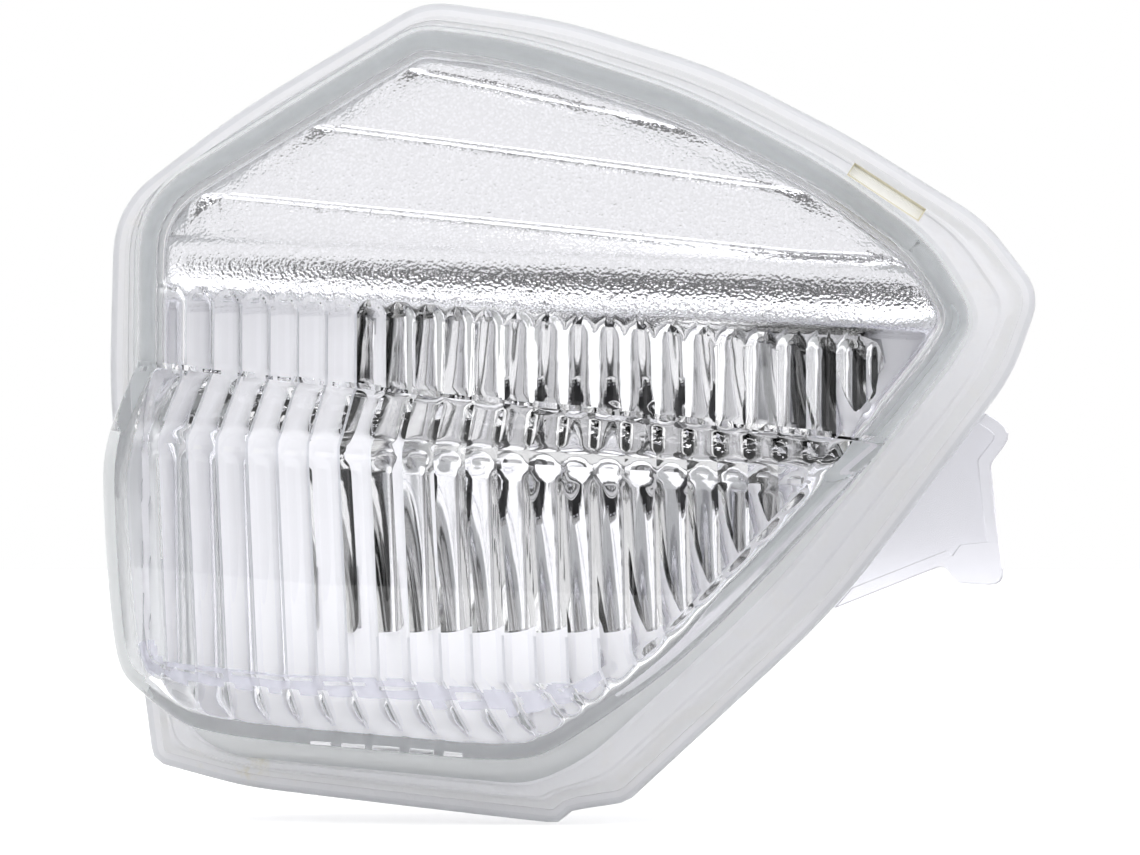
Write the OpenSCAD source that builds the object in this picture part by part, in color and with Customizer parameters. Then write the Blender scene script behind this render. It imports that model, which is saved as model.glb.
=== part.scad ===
// Clear turn signal lamp that sits in the front of a door mirror.
// X runs across the lamp, Z up, and Y away from the viewer, into the mirror.
// The origin lies on the optical axis, at the front of the flange.
// The flange and the windows follow one barrel-shaped surface: a height above it is
// measured outwards from the barrel's axis, and is negative behind the flange's front.

/* [Lens] */
// Width of the flange
lamp_w = 94.5; // [91:0.1:104]
// Height of the flange
lamp_h = 83.3; // [80:0.1:92]
// Thickness of the flange
flange_t = 3; // [2.4:0.1:4]
// Width of the low rim along the flange's edge
rim_w = 1.4; // [0.8:0.1:1.8]
// Depth of that rim below the flange's front
rim_step = 0.8; // [0.4:0.1:1.2]
// Wall of the lens
lens_wall = 2.2; // [1.6:0.1:2.8]
// Height of the upper window above the flange
window_h = 4; // [3.2:0.1:6]
// Height of the bulge above the flange, at the optical axis
bulge_h = 10.5; // [9:0.1:13]
// Length of the slot in the flange, at the upper right
slot_l = 8.6; // [5:0.1:10]
// Width of that slot
slot_w = 1.5; // [1:0.1:1.8]
// Depth of that slot
slot_d = 0.8; // [0.4:0.1:1.2]

/* [Barrel] */
// Radius of the barrel about its upright axis
bend_r = 150; // [140:1:190]
// Place of the upright axis across the lamp
bend_x = 10; // [4:1:16]
// Radius of the barrel's crown from top to bottom
crown_r = 180; // [160:1:260]

/* [Flutes] */
// Distance between flutes along the barrel
flute_pitch = 3; // [2.6:0.1:3.6]
// Depth of a flute's ridge inside the window
flute_d = 0.6; // [0.3:0.1:0.9]
// Flutes to the left of the barrel's axis
flutes_left = 18; // [12:1:19]
// Flutes to the right of it
flutes_right = 6; // [3:1:7]

/* [Reflector] */
// Thickness of the reflector
mirror_t = 1.6; // [1.2:0.1:2]
// Depth of the terraces behind the flange's front
terrace_depth = 0.4; // [0.2:0.1:1]
// Step between two terraces
terrace_step = 1.2; // [0.6:0.1:1.6]
// Radius of the roll under the terraces
roll_r = 4.2; // [3.6:0.1:5]
// Depth of the plain panel behind the flange's front
panel_depth = 7; // [6.2:0.1:8]
// Gap between the reflector's edge and the lens wall
mirror_gap = 0.6; // [0.5:0.1:1]
// Left end of the bowl's mouth from the optical axis
bowl_left = 23.3; // [20:0.1:25]
// Right end of the bowl's mouth from the optical axis
bowl_right = 28.5; // [25:0.1:29.5]
// Drop from the roll's underside to the bowl's mouth
bowl_drop = 0.4; // [0.3:0.1:1.5]
// Bottom of the bowl's mouth below the optical axis
bowl_bottom = 18.3; // [15:0.1:19]
// Focal length of the bowl
bowl_focus = 12.3; // [11:0.1:14]
// Place of the bowl's vertex behind the flange's front
bowl_vertex = 24; // [22:0.5:25]

/* [Housing] */
// Wall of the housing
housing_wall = 2; // [1.6:0.1:2.6]
// Depth of the straight skirt behind the flange
skirt_depth = 12; // [11:0.5:15]
// Place of the back plate's outer face
back_y = 31.6; // [31:0.2:36]
// Thickness of the housing's rim under the flange
base_t = 2.6; // [2.2:0.1:3.4]
// Width of the sealing channel
channel_w = 1; // [0.8:0.1:1.2]
// Depth of the sealing channel
channel_d = 1.2; // [0.8:0.1:1.5]
// Thickness of the hooked arm
arm_t = 2; // [1.6:0.1:3]
// Height of the lip round the arm and of its hook
arm_lip = 2.4; // [1:0.1:3.4]
// Width of the lip round the arm
arm_lip_w = 1.2; // [0.8:0.1:1.6]
// Place of the arm behind the flange's front
arm_y = 8; // [7.4:0.1:9]

/* [Fixing] */
// Diameter of the screw's bore in the boss
boss_bore = 3.2; // [2.5:0.1:4]
// Wall of the boss
boss_wall = 2; // [1.5:0.1:2.5]
// Length of the boss, and of its bore
boss_l = 9; // [6:0.5:12]
// Place of the boss across the lamp
boss_x = 22; // [19:0.5:24]
// Height of the boss
boss_z = 9.5; // [7:0.5:11]
// Diameter of the locating peg
peg_d = 4; // [3:0.1:5]
// Length of the locating peg
peg_l = 6; // [4:0.5:9]
// Place of the peg across the lamp
peg_x = -19; // [-21:0.5:-17]
// Height of the peg
peg_z = -13; // [-15:0.5:-11]

/* [Bulb] */
// Diameter of the bulb's glass
bulb_d = 10; // [9:0.1:10.4]
// Length of the glass from its tip to the wedge
bulb_l = 20; // [17:0.1:21]
// Length of the wedge
wedge_l = 6.6; // [5.5:0.1:7.2]
// Width of the wedge
wedge_w = 9; // [8:0.1:9.4]
// Thickness of the wedge
wedge_t = 2.4; // [2:0.1:2.8]
// Diameter of a lead
lead_d = 0.5; // [0.4:0.05:0.6]
// Distance of each lead from the axis
lead_x = 2.6; // [2:0.1:3]

/* [Holder] */
// Bore of the housing's collar
collar_bore = 18; // [17:0.1:19]
// Wall of the collar
collar_wall = 2.4; // [2:0.1:3]
// Length of the collar behind the back plate
collar_l = 2.6; // [2:0.1:4]
// Clearance between the holder's neck and the collar
neck_gap = 0.2; // [0.15:0.05:0.3]
// Wall of the holder's neck
neck_wall = 2; // [1.6:0.1:2.4]
// Thickness of the gasket
gasket_t = 1.2; // [1:0.1:1.6]
// Thickness of the holder's flange
holder_flange_t = 2; // [1.6:0.1:3]
// Reach of a bayonet lug past the neck
lug_reach = 1.6; // [1.2:0.1:2]
// Thickness of a bayonet lug
lug_t = 1.4; // [1:0.1:1.5]
// Inner width of the connector's shroud
shroud_w = 11; // [10:0.1:13]
// Inner height of the connector's shroud
shroud_h = 6.4; // [5.5:0.1:8]
// Wall of the shroud
shroud_wall = 1.4; // [1.2:0.1:2]
// Depth of the shroud
shroud_l = 12; // [11:0.5:15]
// Length of a contact pin inside the shroud
pin_l = 6.5; // [5:0.1:6.8]
// Width of a contact pin
pin_w = 1.5; // [1.2:0.1:2.2]
// Thickness of a contact
pin_t = 0.6; // [0.4:0.1:0.8]

/* [Vent] */
// Outer diameter of the vent's nipple
nipple_d = 6.4; // [6:0.1:7]
// Bore of the nipple
nipple_bore = 3.6; // [3:0.1:4]
// Length of the nipple
nipple_l = 5; // [4:0.5:7]
// Place of the nipple across the lamp
nipple_x = -17; // [-19:0.5:-15]
// Height of the nipple
nipple_z = 8; // [6:0.5:9]
// Wall of the vent's cap
cap_wall = 1.6; // [1.2:0.1:2]
// Thickness of the vent's membrane
membrane_t = 0.4; // [0.3:0.1:0.6]

/* [Fits] */
// Clearance between pieces that lie against each other
seat_gap = 0.05; // [0.05:0.01:0.1]
// Clearance between pieces that slide together
slip_gap = 0.1; // [0.1:0.01:0.2]
// Clearance between the reflector's edge and the housing's skirt
mirror_seat = 0.2; // [0.15:0.05:0.3]

/* [Hidden] */

drawn_w = 94.5; // width and height at which the outlines below were set down
drawn_h = 83.3;
steps = 5;      // straight pieces in each rounded corner
through = 400;  // longer than anything it cuts
slot_turn = 33; // fall of the flange's edge beside the slot, in degrees
lap = 0.1;      // how far one body runs into the next that it joins
lip_gap = 0.3;  // room between the flange's edge and the lip of the arm
rib_d = 1.2;    // depth of the ribs behind the reflector's panel
rib_half = 0.4; // half the width of such a rib
rib_pitch = 2;  // distance between them
mouth_edge = 2.4; // least distance from the bowl's mouth to the reflector's edge
dish_r = 39;    // radius out to which the bowl's paraboloid is drawn
edge_set = 0.6; // how far the housing's rim stays inside the flange's edge
channel_set = 0.2; // from the flange's rim to the sealing channel
front_room = 1.4; // length of the holder's neck in front of its lugs
lug_w = 4;      // width of a bayonet lug
rail_w = 2;     // width of the rail on each side of the shroud
rail_t = 1.6;   // thickness of that rail
vent_hole = 1;  // diameter of the hole across the vent's cap
slot_x = 28.8;  // place of the slot in the flange
slot_z = 25.9;
// Room from the bowl's mouth to the outside of the housing's back, besides the reflector's thickness.
room_left = 4;
room_right = 0.6;
room_high = 3;  // above, and as much below
bulb_hole = bulb_d + 3;

// Corners of the flange, clockwise from the top: across, up, corner radius.
flange_corners = [
    [-17.7, 45.6, 8], [-4, 43.5, 60], [12, 38.4, 60], [25.2, 31.6, 80], [38.8, 23.2, 15],
    [44.6, 15.8, 5], [41.5, 7.4, 20], [23.8, -15.9, 80], [2.8, -35.5, 3], [-2.8, -36.4, 1],
    [-4.2, -37.7, 1.5], [-36, -34.3, 40], [-45.6, -31.9, 2], [-50, 5, 80], [-49.6, 24.9, 10], [-36.5, 34.6, 100]];
// Corners of the line where the lens wall meets the flange.
wall_corners = [
    [-18.5, 43.1, 7], [-8, 41.7, 60], [9, 36.1, 60], [23, 28.8, 60], [33.6, 21.1, 25],
    [38.2, 13, 6], [35, 8, 20], [17, -14.2, 80], [-1, -30.8, 20], [-7, -33.7, 10],
    [-42.3, -30.6, 9], [-47.3, 5, 80], [-47.3, 25.8, 11]];
// The bulge's shoulder, where its side wall starts to turn: across, up, share of the bulge's height.
// This and the next two run clockwise, from the right end of the step to its left end.
shoulder = [
    [27.6, 0.4, 0.8], [17.2, -11.8, 0.78], [8, -21.2, 0.7], [-3.6, -29.4, 0.56], [-8, -31.2, 0.58],
    [-20, -30.2, 0.6], [-40.1, -28.6, 0.62], [-44.2, -26, 0.64], [-46.2, -24.2, 0.7],
    [-47.9, -22.6, 0.72], [-48.7, -20, 0.74], [-49.3, -14, 0.74], [-49.8, -6, 0.74],
    [-49.9, 0.6, 0.72]];
// The line half way round the rounding between the shoulder and the front.
round_line = [
    [26.2, -1.2, 0.94], [17.9, -11, 0.94], [9.6, -18.9, 0.93], [-1, -27.4, 0.9], [-24, -24.8, 0.92],
    [-46.6, -22.6, 0.9], [-47.9, -20.4, 0.9], [-48.6, -14, 0.9], [-49.1, -8, 0.9], [-49.3, 0.1, 0.9]];
// The edge of the bulge's front face.
front_edge = [
    [24.9, -2.6, 1], [17.2, -10.3, 1], [8.8, -17.9, 1], [0.6, -25.4, 1], [-1.6, -26.2, 1],
    [-9.9, -25.2, 1], [-29.7, -23.2, 1], [-45.2, -21.6, 1], [-46.2, -20.2, 1], [-46.8, -14, 1],
    [-47.2, -8, 1], [-47.4, -0.4, 1]];
// Corners of the hooked arm.
arm_corners = [
    [30, 2, 1], [37.6, 4.6, 2], [41.9, 1.8, 2], [39.4, -1.4, 1.5], [39.9, -6, 4],
    [40.9, -13.7, 1.4], [36, -13.4, 1], [34.7, -11.6, 1], [22.6, -16.4, 1], [14, -14, 1]];
// Corners of the hook at the arm's end.
hook_corners = [
    [36.2, -13.4, 0.6], [34.9, -11.7, 0.6], [36.4, -9.6, 0.6], [40.3, -9.2, 0.6], [40.9, -13.7, 1.4]];

span_x = lamp_w / drawn_w;
span_z = lamp_h / drawn_h;
flange_line = fitted(flange_corners);
wall_line = fitted(wall_corners);
mirror_line = inset(wall_line, lens_wall + mirror_gap);
band = 10;         // height of each cone band that makes up the barrel's crown
barrel_bands = 6;  // bands above the axis, and as many below
middle_x = -3;     // middle of the lens, towards which its front is filled in
housing_line = inset(flange_line, edge_set);
channel_line = inset(flange_line, rim_w + channel_set);
seal_top = flange_t + seat_gap;
rim_face = flange_t + seat_gap;
skirt_line = inset(wall_line, lens_wall + mirror_gap - mirror_seat - housing_wall);
collar_end = back_y + collar_l;
neck_r = collar_bore / 2 - neck_gap;
collar_r = collar_bore / 2 + collar_wall;
flange_y = collar_end + gasket_t;
shroud_y = flange_y + holder_flange_t;
back_inner = back_y - housing_wall;
holder_front = back_inner - lug_t - front_room;
wedge_back = flange_y - holder_flange_t;
wedge_front = wedge_back - wedge_l;
bulb_tip = wedge_front - bulb_l;
contact_x = lead_x;
contact_z = wedge_t / 2 + lead_d + seat_gap;
cap_end = back_y + nipple_l + membrane_t + cap_wall + 2 * seat_gap;

// A corner list brought to the lamp's width and height.
function fitted(list) = [for (p = list) [p[0] * span_x, p[1] * span_z, p[2]]];
function unit(v) = v / norm(v);
function xz(p) = [p[0], p[1]];
// A corner list moved inwards by d; the lists run clockwise.
function inset(list, d) = [for (i = [0:len(list) - 1])
    let (n = len(list), a = xz(list[(i + n - 1) % n]), b = xz(list[i]), c = xz(list[(i + 1) % n]),
         u = unit(b - a), v = unit(c - b), p = [u[1], -u[0]], q = [v[1], -v[0]],
         m = b + (p + q) * d / (1 + p * q))
    [m[0], m[1], max(0.4, list[i][2] - d)]];
// The outline that rounds a corner list.
function rounded(list, k = steps) = [for (i = [0:len(list) - 1])
    let (n = len(list), b = xz(list[i]), back = xz(list[(i + n - 1) % n]) - b, on = xz(list[(i + 1) % n]) - b,
         half = acos(max(-1, min(1, unit(back) * unit(on)))) / 2,
         t = min(list[i][2] / tan(half), norm(back) * 0.48, norm(on) * 0.48),
         a = b + unit(back) * t, c = b + unit(on) * t)
    for (j = [0:k]) let (s = j / k) (1 - s) * (1 - s) * a + 2 * s * (1 - s) * b + s * s * c];
// Radius of the barrel at a height, in straight bands, and the point of the barrel at h above it.
function crown(i) = bend_r - crown_r + sqrt(crown_r * crown_r - i * band * i * band);
function barrel_r(z) = let (i = floor(z / band), f = z / band - i) (1 - f) * crown(i) + f * crown(i + 1);
function on_barrel(x, z, h) = [x, bend_r - sqrt(pow(barrel_r(z) + h, 2) - pow(x - bend_x, 2)), z];

// Lines across the lens and the reflector, each a height that falls to the right.
function flute_top(x) = (13.1 - 0.0836 * x) * span_z;
function step_top(x) = (3.62 - 0.1047 * x) * span_z;
function step_foot(x) = (-1.5 - 0.0579 * x) * span_z;
function flute_foot(x) = max(-25.6 - 0.102 * x, -25 + 0.94 * x) * span_z;
function roll_z(x) = (17.15 - 0.041 * x) * span_z;
function crease(i, x) = max([34.1 - 0.221 * x, 28.7 - 0.138 * x, 21.65 - 0.1047 * x][i] * span_z,
    roll_z(x) + roll_r * 0.65 + 0.5);
// Height of the bulge, which is lower at its right end.
function bulge(x) = bulge_h - 0.045 * x;

module slab(outline) translate([0, through / 2, 0]) rotate([90, 0, 0]) linear_extrude(through) polygon(outline);
module points_hull(points)
    hull() polyhedron(points = points, faces = [for (i = [0:len(points) - 3]) [i, i + 1, i + 2]]);
module along_y(y, r, l) translate([0, y, 0]) rotate([-90, 0, 0]) cylinder(r = r, h = l, $fn = 64);

// Everything behind the barrel's surface at h above it.
module behind(h) translate([bend_x, bend_r, 0]) rotate([0, 0, -90]) rotate_extrude($fn = 240)
    polygon(concat([[0, -barrel_bands * band]],
        [for (i = [-barrel_bands:barrel_bands]) [crown(i) + h, i * band]], [[0, barrel_bands * band]]));
module layer(outline, top, bottom) intersection() { slab(outline); difference() { behind(top); behind(bottom); } }

function ring(outline, h) = [for (p = outline) on_barrel(p[0], p[1], h)];
function drawn_in(outline, s) = [for (p = outline) [p[0] * s + middle_x * (1 - s), p[1] * s]];

// The upper window: a low dome over the whole wall line, or the space inside it.
module window_body(g) points_hull(concat(
    ring(rounded(inset(wall_line, g)), g > 0 ? -flange_t - 1 : -1),
    ring(rounded(inset(wall_line, g + 0.5)), window_h - g * 1.1 - 1.4),
    ring(rounded(inset(wall_line, g + 1)), window_h - g - 0.5),
    ring(rounded(inset(wall_line, g + 2)), window_h - g),
    [for (s = [0.85, 0.65, 0.4, 0.15]) each ring(drawn_in(rounded(inset(wall_line, g + 2), 1), s), window_h - g)]));

// One of the bulge's lines, drawn in by g on the side and by down on top.
function bulge_ring(list, g, down) = let (line = fitted(list), moved = g > 0 ? inset(line, g) : line)
    [for (i = [0:len(list) - 1]) on_barrel(moved[i][0], moved[i][1], bulge(moved[i][0]) * line[i][2] - down)];

// The bulge below the step, or the space inside it.
module bulge_body(g) points_hull(concat(
    ring([for (p = rounded(inset(wall_line, g - lap))) if (p[1] < step_top(p[0])) p], g > 0 ? -flange_t - 2 : -1.5),
    [for (x = [-46 + g:6:27 - g]) on_barrel(x * span_x, step_top(x) - g * 0.3, window_h - g)],
    [for (x = [-46.8 + g:6:25 - g]) on_barrel(x * span_x, step_foot(x) - g * 0.3, bulge(x) - g)],
    bulge_ring(shoulder, g, g * 0.4),
    bulge_ring(round_line, g * 0.7, g * 0.7),
    bulge_ring(front_edge, g * 0.4, g),
    [for (x = [-42:6:0], z = [-18, -12, -6]) on_barrel(x * span_x, z * span_z, bulge(x) - g)],
    [for (x = [6:6:16]) on_barrel(x * span_x, -6 * span_z, bulge(x) - g)]));

// One ridge of a flute, between two heights, on a face that lies at h1 and h2. Its root is inside the wall.
module ridge(x1, z1, h1, x2, z2, h2) {
    half = flute_pitch * 0.46;
    root = lens_wall * 0.35;
    points_hull([for (e = [[x1, z1, h1], [x2, z2, h2]], s = [[-1, root], [-1, 0], [-0.55, -0.7 * flute_d],
                      [0, -flute_d], [0.55, -0.7 * flute_d], [1, 0], [1, root]])
        on_barrel(e[0] + s[0] * half, e[1], e[2] + s[1])]);
}
function flute_x(i) = bend_x + bend_r * sin(i * flute_pitch / bend_r * 180 / PI);
function lean(x) = x < 5 ? 0.085 * (5 - x) : 0;
module flutes() for (i = [-flutes_left:flutes_right]) {
    x = flute_x(i);
    foot_x = x - lean(x) * 0.6;
    under = lens_wall * 0.3;
    ridge(x, flute_top(x), window_h - lens_wall, x, step_top(x) + 1, window_h - lens_wall);
    ridge(x, step_top(x) - under, window_h - lens_wall,
          foot_x, step_foot(foot_x) - under, bulge(foot_x) - lens_wall);
    if (flute_foot(foot_x) < step_foot(foot_x) - 3)
        ridge(foot_x, step_foot(foot_x) - 1.4, bulge(foot_x) - lens_wall,
              foot_x + 0.9, flute_foot(foot_x) + 1.6, bulge(foot_x) - lens_wall);
}

module outer_lens() color([0.93, 0.94, 0.95, 0.5]) difference() {
    union() {
        layer(rounded(flange_line), -rim_step, -flange_t - lap);
        layer(rounded(inset(flange_line, rim_w)), 0, -rim_step - lap);
        window_body(0);
        bulge_body(0);
    }
    difference() {
        union() { window_body(lens_wall); bulge_body(lens_wall); }
        flutes();
    }
    behind(-flange_t);
    layer(slot_line(), 2, -slot_d);
}
// The slot in the flange, turned along its edge.
function slot_line() = [for (s = [[-1, -1], [-1, 1], [1, 1], [1, -1]])
    let (a = s[0] * slot_l / 2, b = s[1] * slot_w / 2)
    [slot_x * span_x + a * cos(slot_turn) + b * sin(slot_turn),
     slot_z * span_z - a * sin(slot_turn) + b * cos(slot_turn)]];

// Sealant in the channel between the flange and the housing.
module perimeter_seal() color([0.86, 0.85, 0.8]) difference() {
    layer(rounded(inset(channel_line, slip_gap)), -seal_top, -seal_top - channel_d + slip_gap);
    slab(rounded(inset(channel_line, channel_w - slip_gap)));
}

// The reflector's section at x, from the top down, as heights and levels: its front, then its back.
function section(x) = let (zr = roll_z(x), low = -terrace_depth - terrace_step, axis = -terrace_depth - roll_r) concat(
    [[crease(0, x) + 14, low + 0.3]],
    [for (i = [0:2]) each [[crease(i, x) + 0.3, -terrace_depth], [crease(i, x) - 0.1, low]]],
    [for (a = [40:-26:-90]) [zr + roll_r * sin(a), axis + roll_r * cos(a)]],
    [[zr - roll_r - 0.6, -panel_depth], [0, -panel_depth], [-20 * span_z, -panel_depth],
     [-44 * span_z, -panel_depth]]);
function section_back(x) = let (zr = roll_z(x), low = -terrace_depth - terrace_step - mirror_t,
    axis = -terrace_depth - roll_r, r = roll_r - mirror_t, deep = -panel_depth - mirror_t) concat(
    [[crease(0, x) + 14, low]],
    [for (i = [0:2]) [crease(i, x), low]],
    [for (a = [40:-26:-90]) [zr + r * sin(a), axis + r * cos(a)]],
    [[zr - roll_r - 0.6 + mirror_t, deep], [0, deep], [-20 * span_z, deep], [-44 * span_z, deep]]);
function level_point(x, p) = on_barrel(x, p[0], p[1]);
module sheet() {
    xs = [for (x = [-49:4:43]) x * span_x];
    loops = [for (x = xs) let (s = section(x), b = section_back(x))
        concat([for (p = s) level_point(x, p)], [for (i = [len(b) - 1:-1:0]) level_point(x, b[i])])];
    m = len(loops[0]);
    n = len(xs);
    polyhedron(points = [for (l = loops) each l], faces = concat(
        [[for (j = [0:m - 1]) j]], [[for (j = [m - 1:-1:0]) (n - 1) * m + j]],
        [for (i = [0:n - 2], j = [0:m - 1]) let (a = i * m + j, b = i * m + (j + 1) % m)
            each [[a, a + m, b], [b, a + m, b + m]]]));
}
// The mouth of the bowl: a rounded window under the roll, cut off along the lens wall.
mouth_corners = [
    [-bowl_left, roll_z(-bowl_left) - roll_r - bowl_drop, 1.5],
    [bowl_right, roll_z(bowl_right) - roll_r - bowl_drop, 3],
    [bowl_right, -bowl_bottom, 1], [-bowl_left, -bowl_bottom, 2]];
module mouth(grow) intersection() {
    polygon(rounded(inset(mouth_corners, -grow)));
    polygon(rounded(inset(mirror_line, mouth_edge - grow)));
}
module mouth_slab(grow) translate([0, through / 2, 0]) rotate([90, 0, 0]) linear_extrude(through) mouth(grow);
// The space in front of the paraboloid, moved back by t.
module dish(t) translate([0, bowl_vertex + t, 0]) rotate([90, 0, 0]) rotate_extrude($fn = 64)
    polygon(concat([for (r = [0:3:dish_r]) [r, r * r / 4 / bowl_focus]], [[0, dish_r * dish_r / 4 / bowl_focus]]));
// An upright stiffening rib on the back of the plain panel.
module rib(x) points_hull([for (z = [-24:6:6], e = [-rib_half, rib_half], h = [lap, -rib_d])
    on_barrel(x + e, z * span_z, -panel_depth - mirror_t + h)]);
module reflector() color([0.82, 0.83, 0.85]) difference() {
    union() {
        intersection() {
            union() { sheet(); for (i = [0:8]) rib(-bowl_left - mirror_t - 1 - i * rib_pitch); }
            slab(rounded(mirror_line));
        }
        intersection() { dish(mirror_t); mouth_slab(mirror_t); behind(-panel_depth); }
    }
    intersection() { dish(0); mouth_slab(0); }
    along_y(0, bulb_hole / 2, 60);
}

module shell(g) points_hull(concat(
    ring(rounded(inset(skirt_line, g), 3), g > 0 ? 6 : -rim_face - base_t / 2),
    ring(rounded(inset(skirt_line, g), 3), -skirt_depth + g * 0.8),
    [for (p = rounded(back_corners(g), 3)) [p[0], back_y - g, p[1]]]));
function back_corners(g) = let (l = -bowl_left - mirror_t - room_left + g,
    r = bowl_right + mirror_t + room_right - g,
    t = mouth_corners[0][1] + mirror_t + room_high - g, b = -bowl_bottom - mirror_t - room_high + g)
    [[l, t, 5], [r, t, 6], [r, -2, 10], [11 - g * 0.4, b, 6], [l, b, 5]];

module housing() color([0.88, 0.89, 0.92, 0.7]) difference() {
    union() {
        shell(0);
        layer(rounded(housing_line), -rim_face, -rim_face - base_t);
        along_y(back_inner, collar_r, housing_wall + collar_l);
        translate([boss_x, 0, boss_z]) along_y(back_inner, boss_bore / 2 + boss_wall, housing_wall + boss_l);
        translate([peg_x, 0, peg_z]) along_y(back_inner, peg_d / 2, housing_wall + peg_l);
        translate([nipple_x, 0, nipple_z]) along_y(back_inner, nipple_d / 2, housing_wall + nipple_l);
        arm();
    }
    shell(housing_wall);
    difference() {
        layer(rounded(channel_line), -rim_face + 1, -rim_face - channel_d);
        slab(rounded(inset(channel_line, channel_w)));
    }
    along_y(back_inner - 1, collar_bore / 2, 20);
    translate([boss_x, 0, boss_z]) along_y(back_y, boss_bore / 2, 20);
    translate([nipple_x, 0, nipple_z]) along_y(back_inner - 1, nipple_bore / 2, 20);
    for (a = [0, 120, 240]) rotate([0, a + 60, 0])
        translate([-lug_w / 2 - neck_gap, back_inner - 1, 0])
            cube([lug_w + 2 * neck_gap, 20, neck_r + lug_reach + neck_gap]);
}
// A plate of the arm, t thick forwards from the arm's back.
module arm_plate(t, outline) translate([0, arm_y + arm_t, 0]) rotate([90, 0, 0]) linear_extrude(t) polygon(outline);
module arm() {
    arm_plate(arm_t, rounded(fitted(arm_corners), 4));
    difference() {
        arm_plate(arm_t + arm_lip, rounded(fitted(arm_corners), 4));
        slab(rounded(inset(fitted(arm_corners), arm_lip_w), 4));
        slab(rounded(inset(flange_line, -lip_gap)));
    }
    arm_plate(arm_t + arm_lip, rounded(fitted(hook_corners), 3));
}

module bulb() color([0.86, 0.87, 0.88]) {
    translate([0, bulb_tip, 0]) rotate([-90, 0, 0]) rotate_extrude($fn = 48) intersection() {
        union() {
            translate([0, bulb_d / 2]) circle(d = bulb_d, $fn = 48);
            translate([0, bulb_d / 2]) square([bulb_d / 2, bulb_l - bulb_d / 2]);
        }
        square([bulb_d, bulb_l]);
    }
    translate([-wedge_w / 2, wedge_front - 0.5, -wedge_t / 2]) cube([wedge_w, wedge_l + 0.5, wedge_t]);
}
module lead(side) color([0.75, 0.75, 0.78])
    translate([side * lead_x, 0, side * (wedge_t / 2 + lead_d / 2 + seat_gap / 2)])
        along_y(wedge_front + 0.2, lead_d / 2, wedge_l - 1);

module strip(side, grow) {
    x = side * contact_x - pin_w / 2 - grow;
    z = side > 0 ? contact_z - grow : -contact_z - pin_t - grow;
    w = pin_w + 2 * grow;
    t = pin_t + 2 * grow;
    translate([x, wedge_front + 0.4 - grow, z]) cube([w, shroud_y + pin_l - wedge_front - 0.4 + grow, t]);
}
module bulb_holder() color([0.16, 0.16, 0.17]) difference() {
    union() {
        along_y(holder_front, neck_r, flange_y - holder_front + 0.01);
        along_y(flange_y, collar_r, holder_flange_t);
        for (a = [0, 120, 240]) rotate([0, a, 0]) translate([-lug_w / 2, back_inner - lug_t - seat_gap, 0])
            cube([lug_w, lug_t, neck_r + lug_reach]);
        translate([-shroud_w / 2 - shroud_wall, shroud_y - 0.01, -shroud_h / 2 - shroud_wall])
            cube([shroud_w + 2 * shroud_wall, shroud_l, shroud_h + 2 * shroud_wall]);
        for (s = [-1, 1]) translate([s * (shroud_w / 2 + shroud_wall) - rail_w / 2, shroud_y, -rail_t / 2])
            cube([rail_w, shroud_l * 0.6, rail_t]);
    }
    along_y(holder_front - 1, neck_r - neck_wall, wedge_front - holder_front + 1.6);
    translate([-wedge_w / 2 - slip_gap, wedge_front - 0.5, -wedge_t / 2 - lead_d - seat_gap])
        cube([wedge_w + 2 * slip_gap, wedge_l + 0.5 + slip_gap, wedge_t + 2 * lead_d + 2 * seat_gap]);
    translate([-shroud_w / 2, shroud_y, -shroud_h / 2]) cube([shroud_w, shroud_l + 1, shroud_h]);
    strip(-1, seat_gap);
    strip(1, seat_gap);
}
module contact_left() color([0.8, 0.66, 0.36]) strip(-1, 0);
module contact_right() color([0.8, 0.66, 0.36]) strip(1, 0);
module holder_gasket() color([0.1, 0.1, 0.1]) difference() {
    along_y(collar_end + seat_gap, collar_r, gasket_t - 2 * seat_gap);
    along_y(collar_end - 1, neck_r + slip_gap, gasket_t + 2);
}

module vent_membrane() color([0.95, 0.95, 0.95])
    translate([nipple_x, 0, nipple_z]) along_y(back_y + nipple_l + seat_gap, nipple_d / 2 - 0.2, membrane_t);
module vent_cap() color([0.12, 0.12, 0.12]) translate([nipple_x, 0, nipple_z]) difference() {
    along_y(back_y + 1, nipple_d / 2 + slip_gap + cap_wall, cap_end - back_y - 1);
    along_y(back_y, nipple_d / 2 + slip_gap, nipple_l + membrane_t + 2 * seat_gap);
    translate([0, back_y + nipple_l + membrane_t / 2, 0]) rotate([0, 90, 0])
        cylinder(d = vent_hole, h = 20, $fn = 32);
}

outer_lens();
perimeter_seal();
reflector();
housing();
bulb();
lead(-1);  // bulb_lead_left
lead(1);  // bulb_lead_right
bulb_holder();
contact_left();
contact_right();
holder_gasket();
vent_cap();
vent_membrane();
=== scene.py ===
import logging
import math
from dataclasses import dataclass, field
from enum import Enum
from typing import Callable, Sequence

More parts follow.
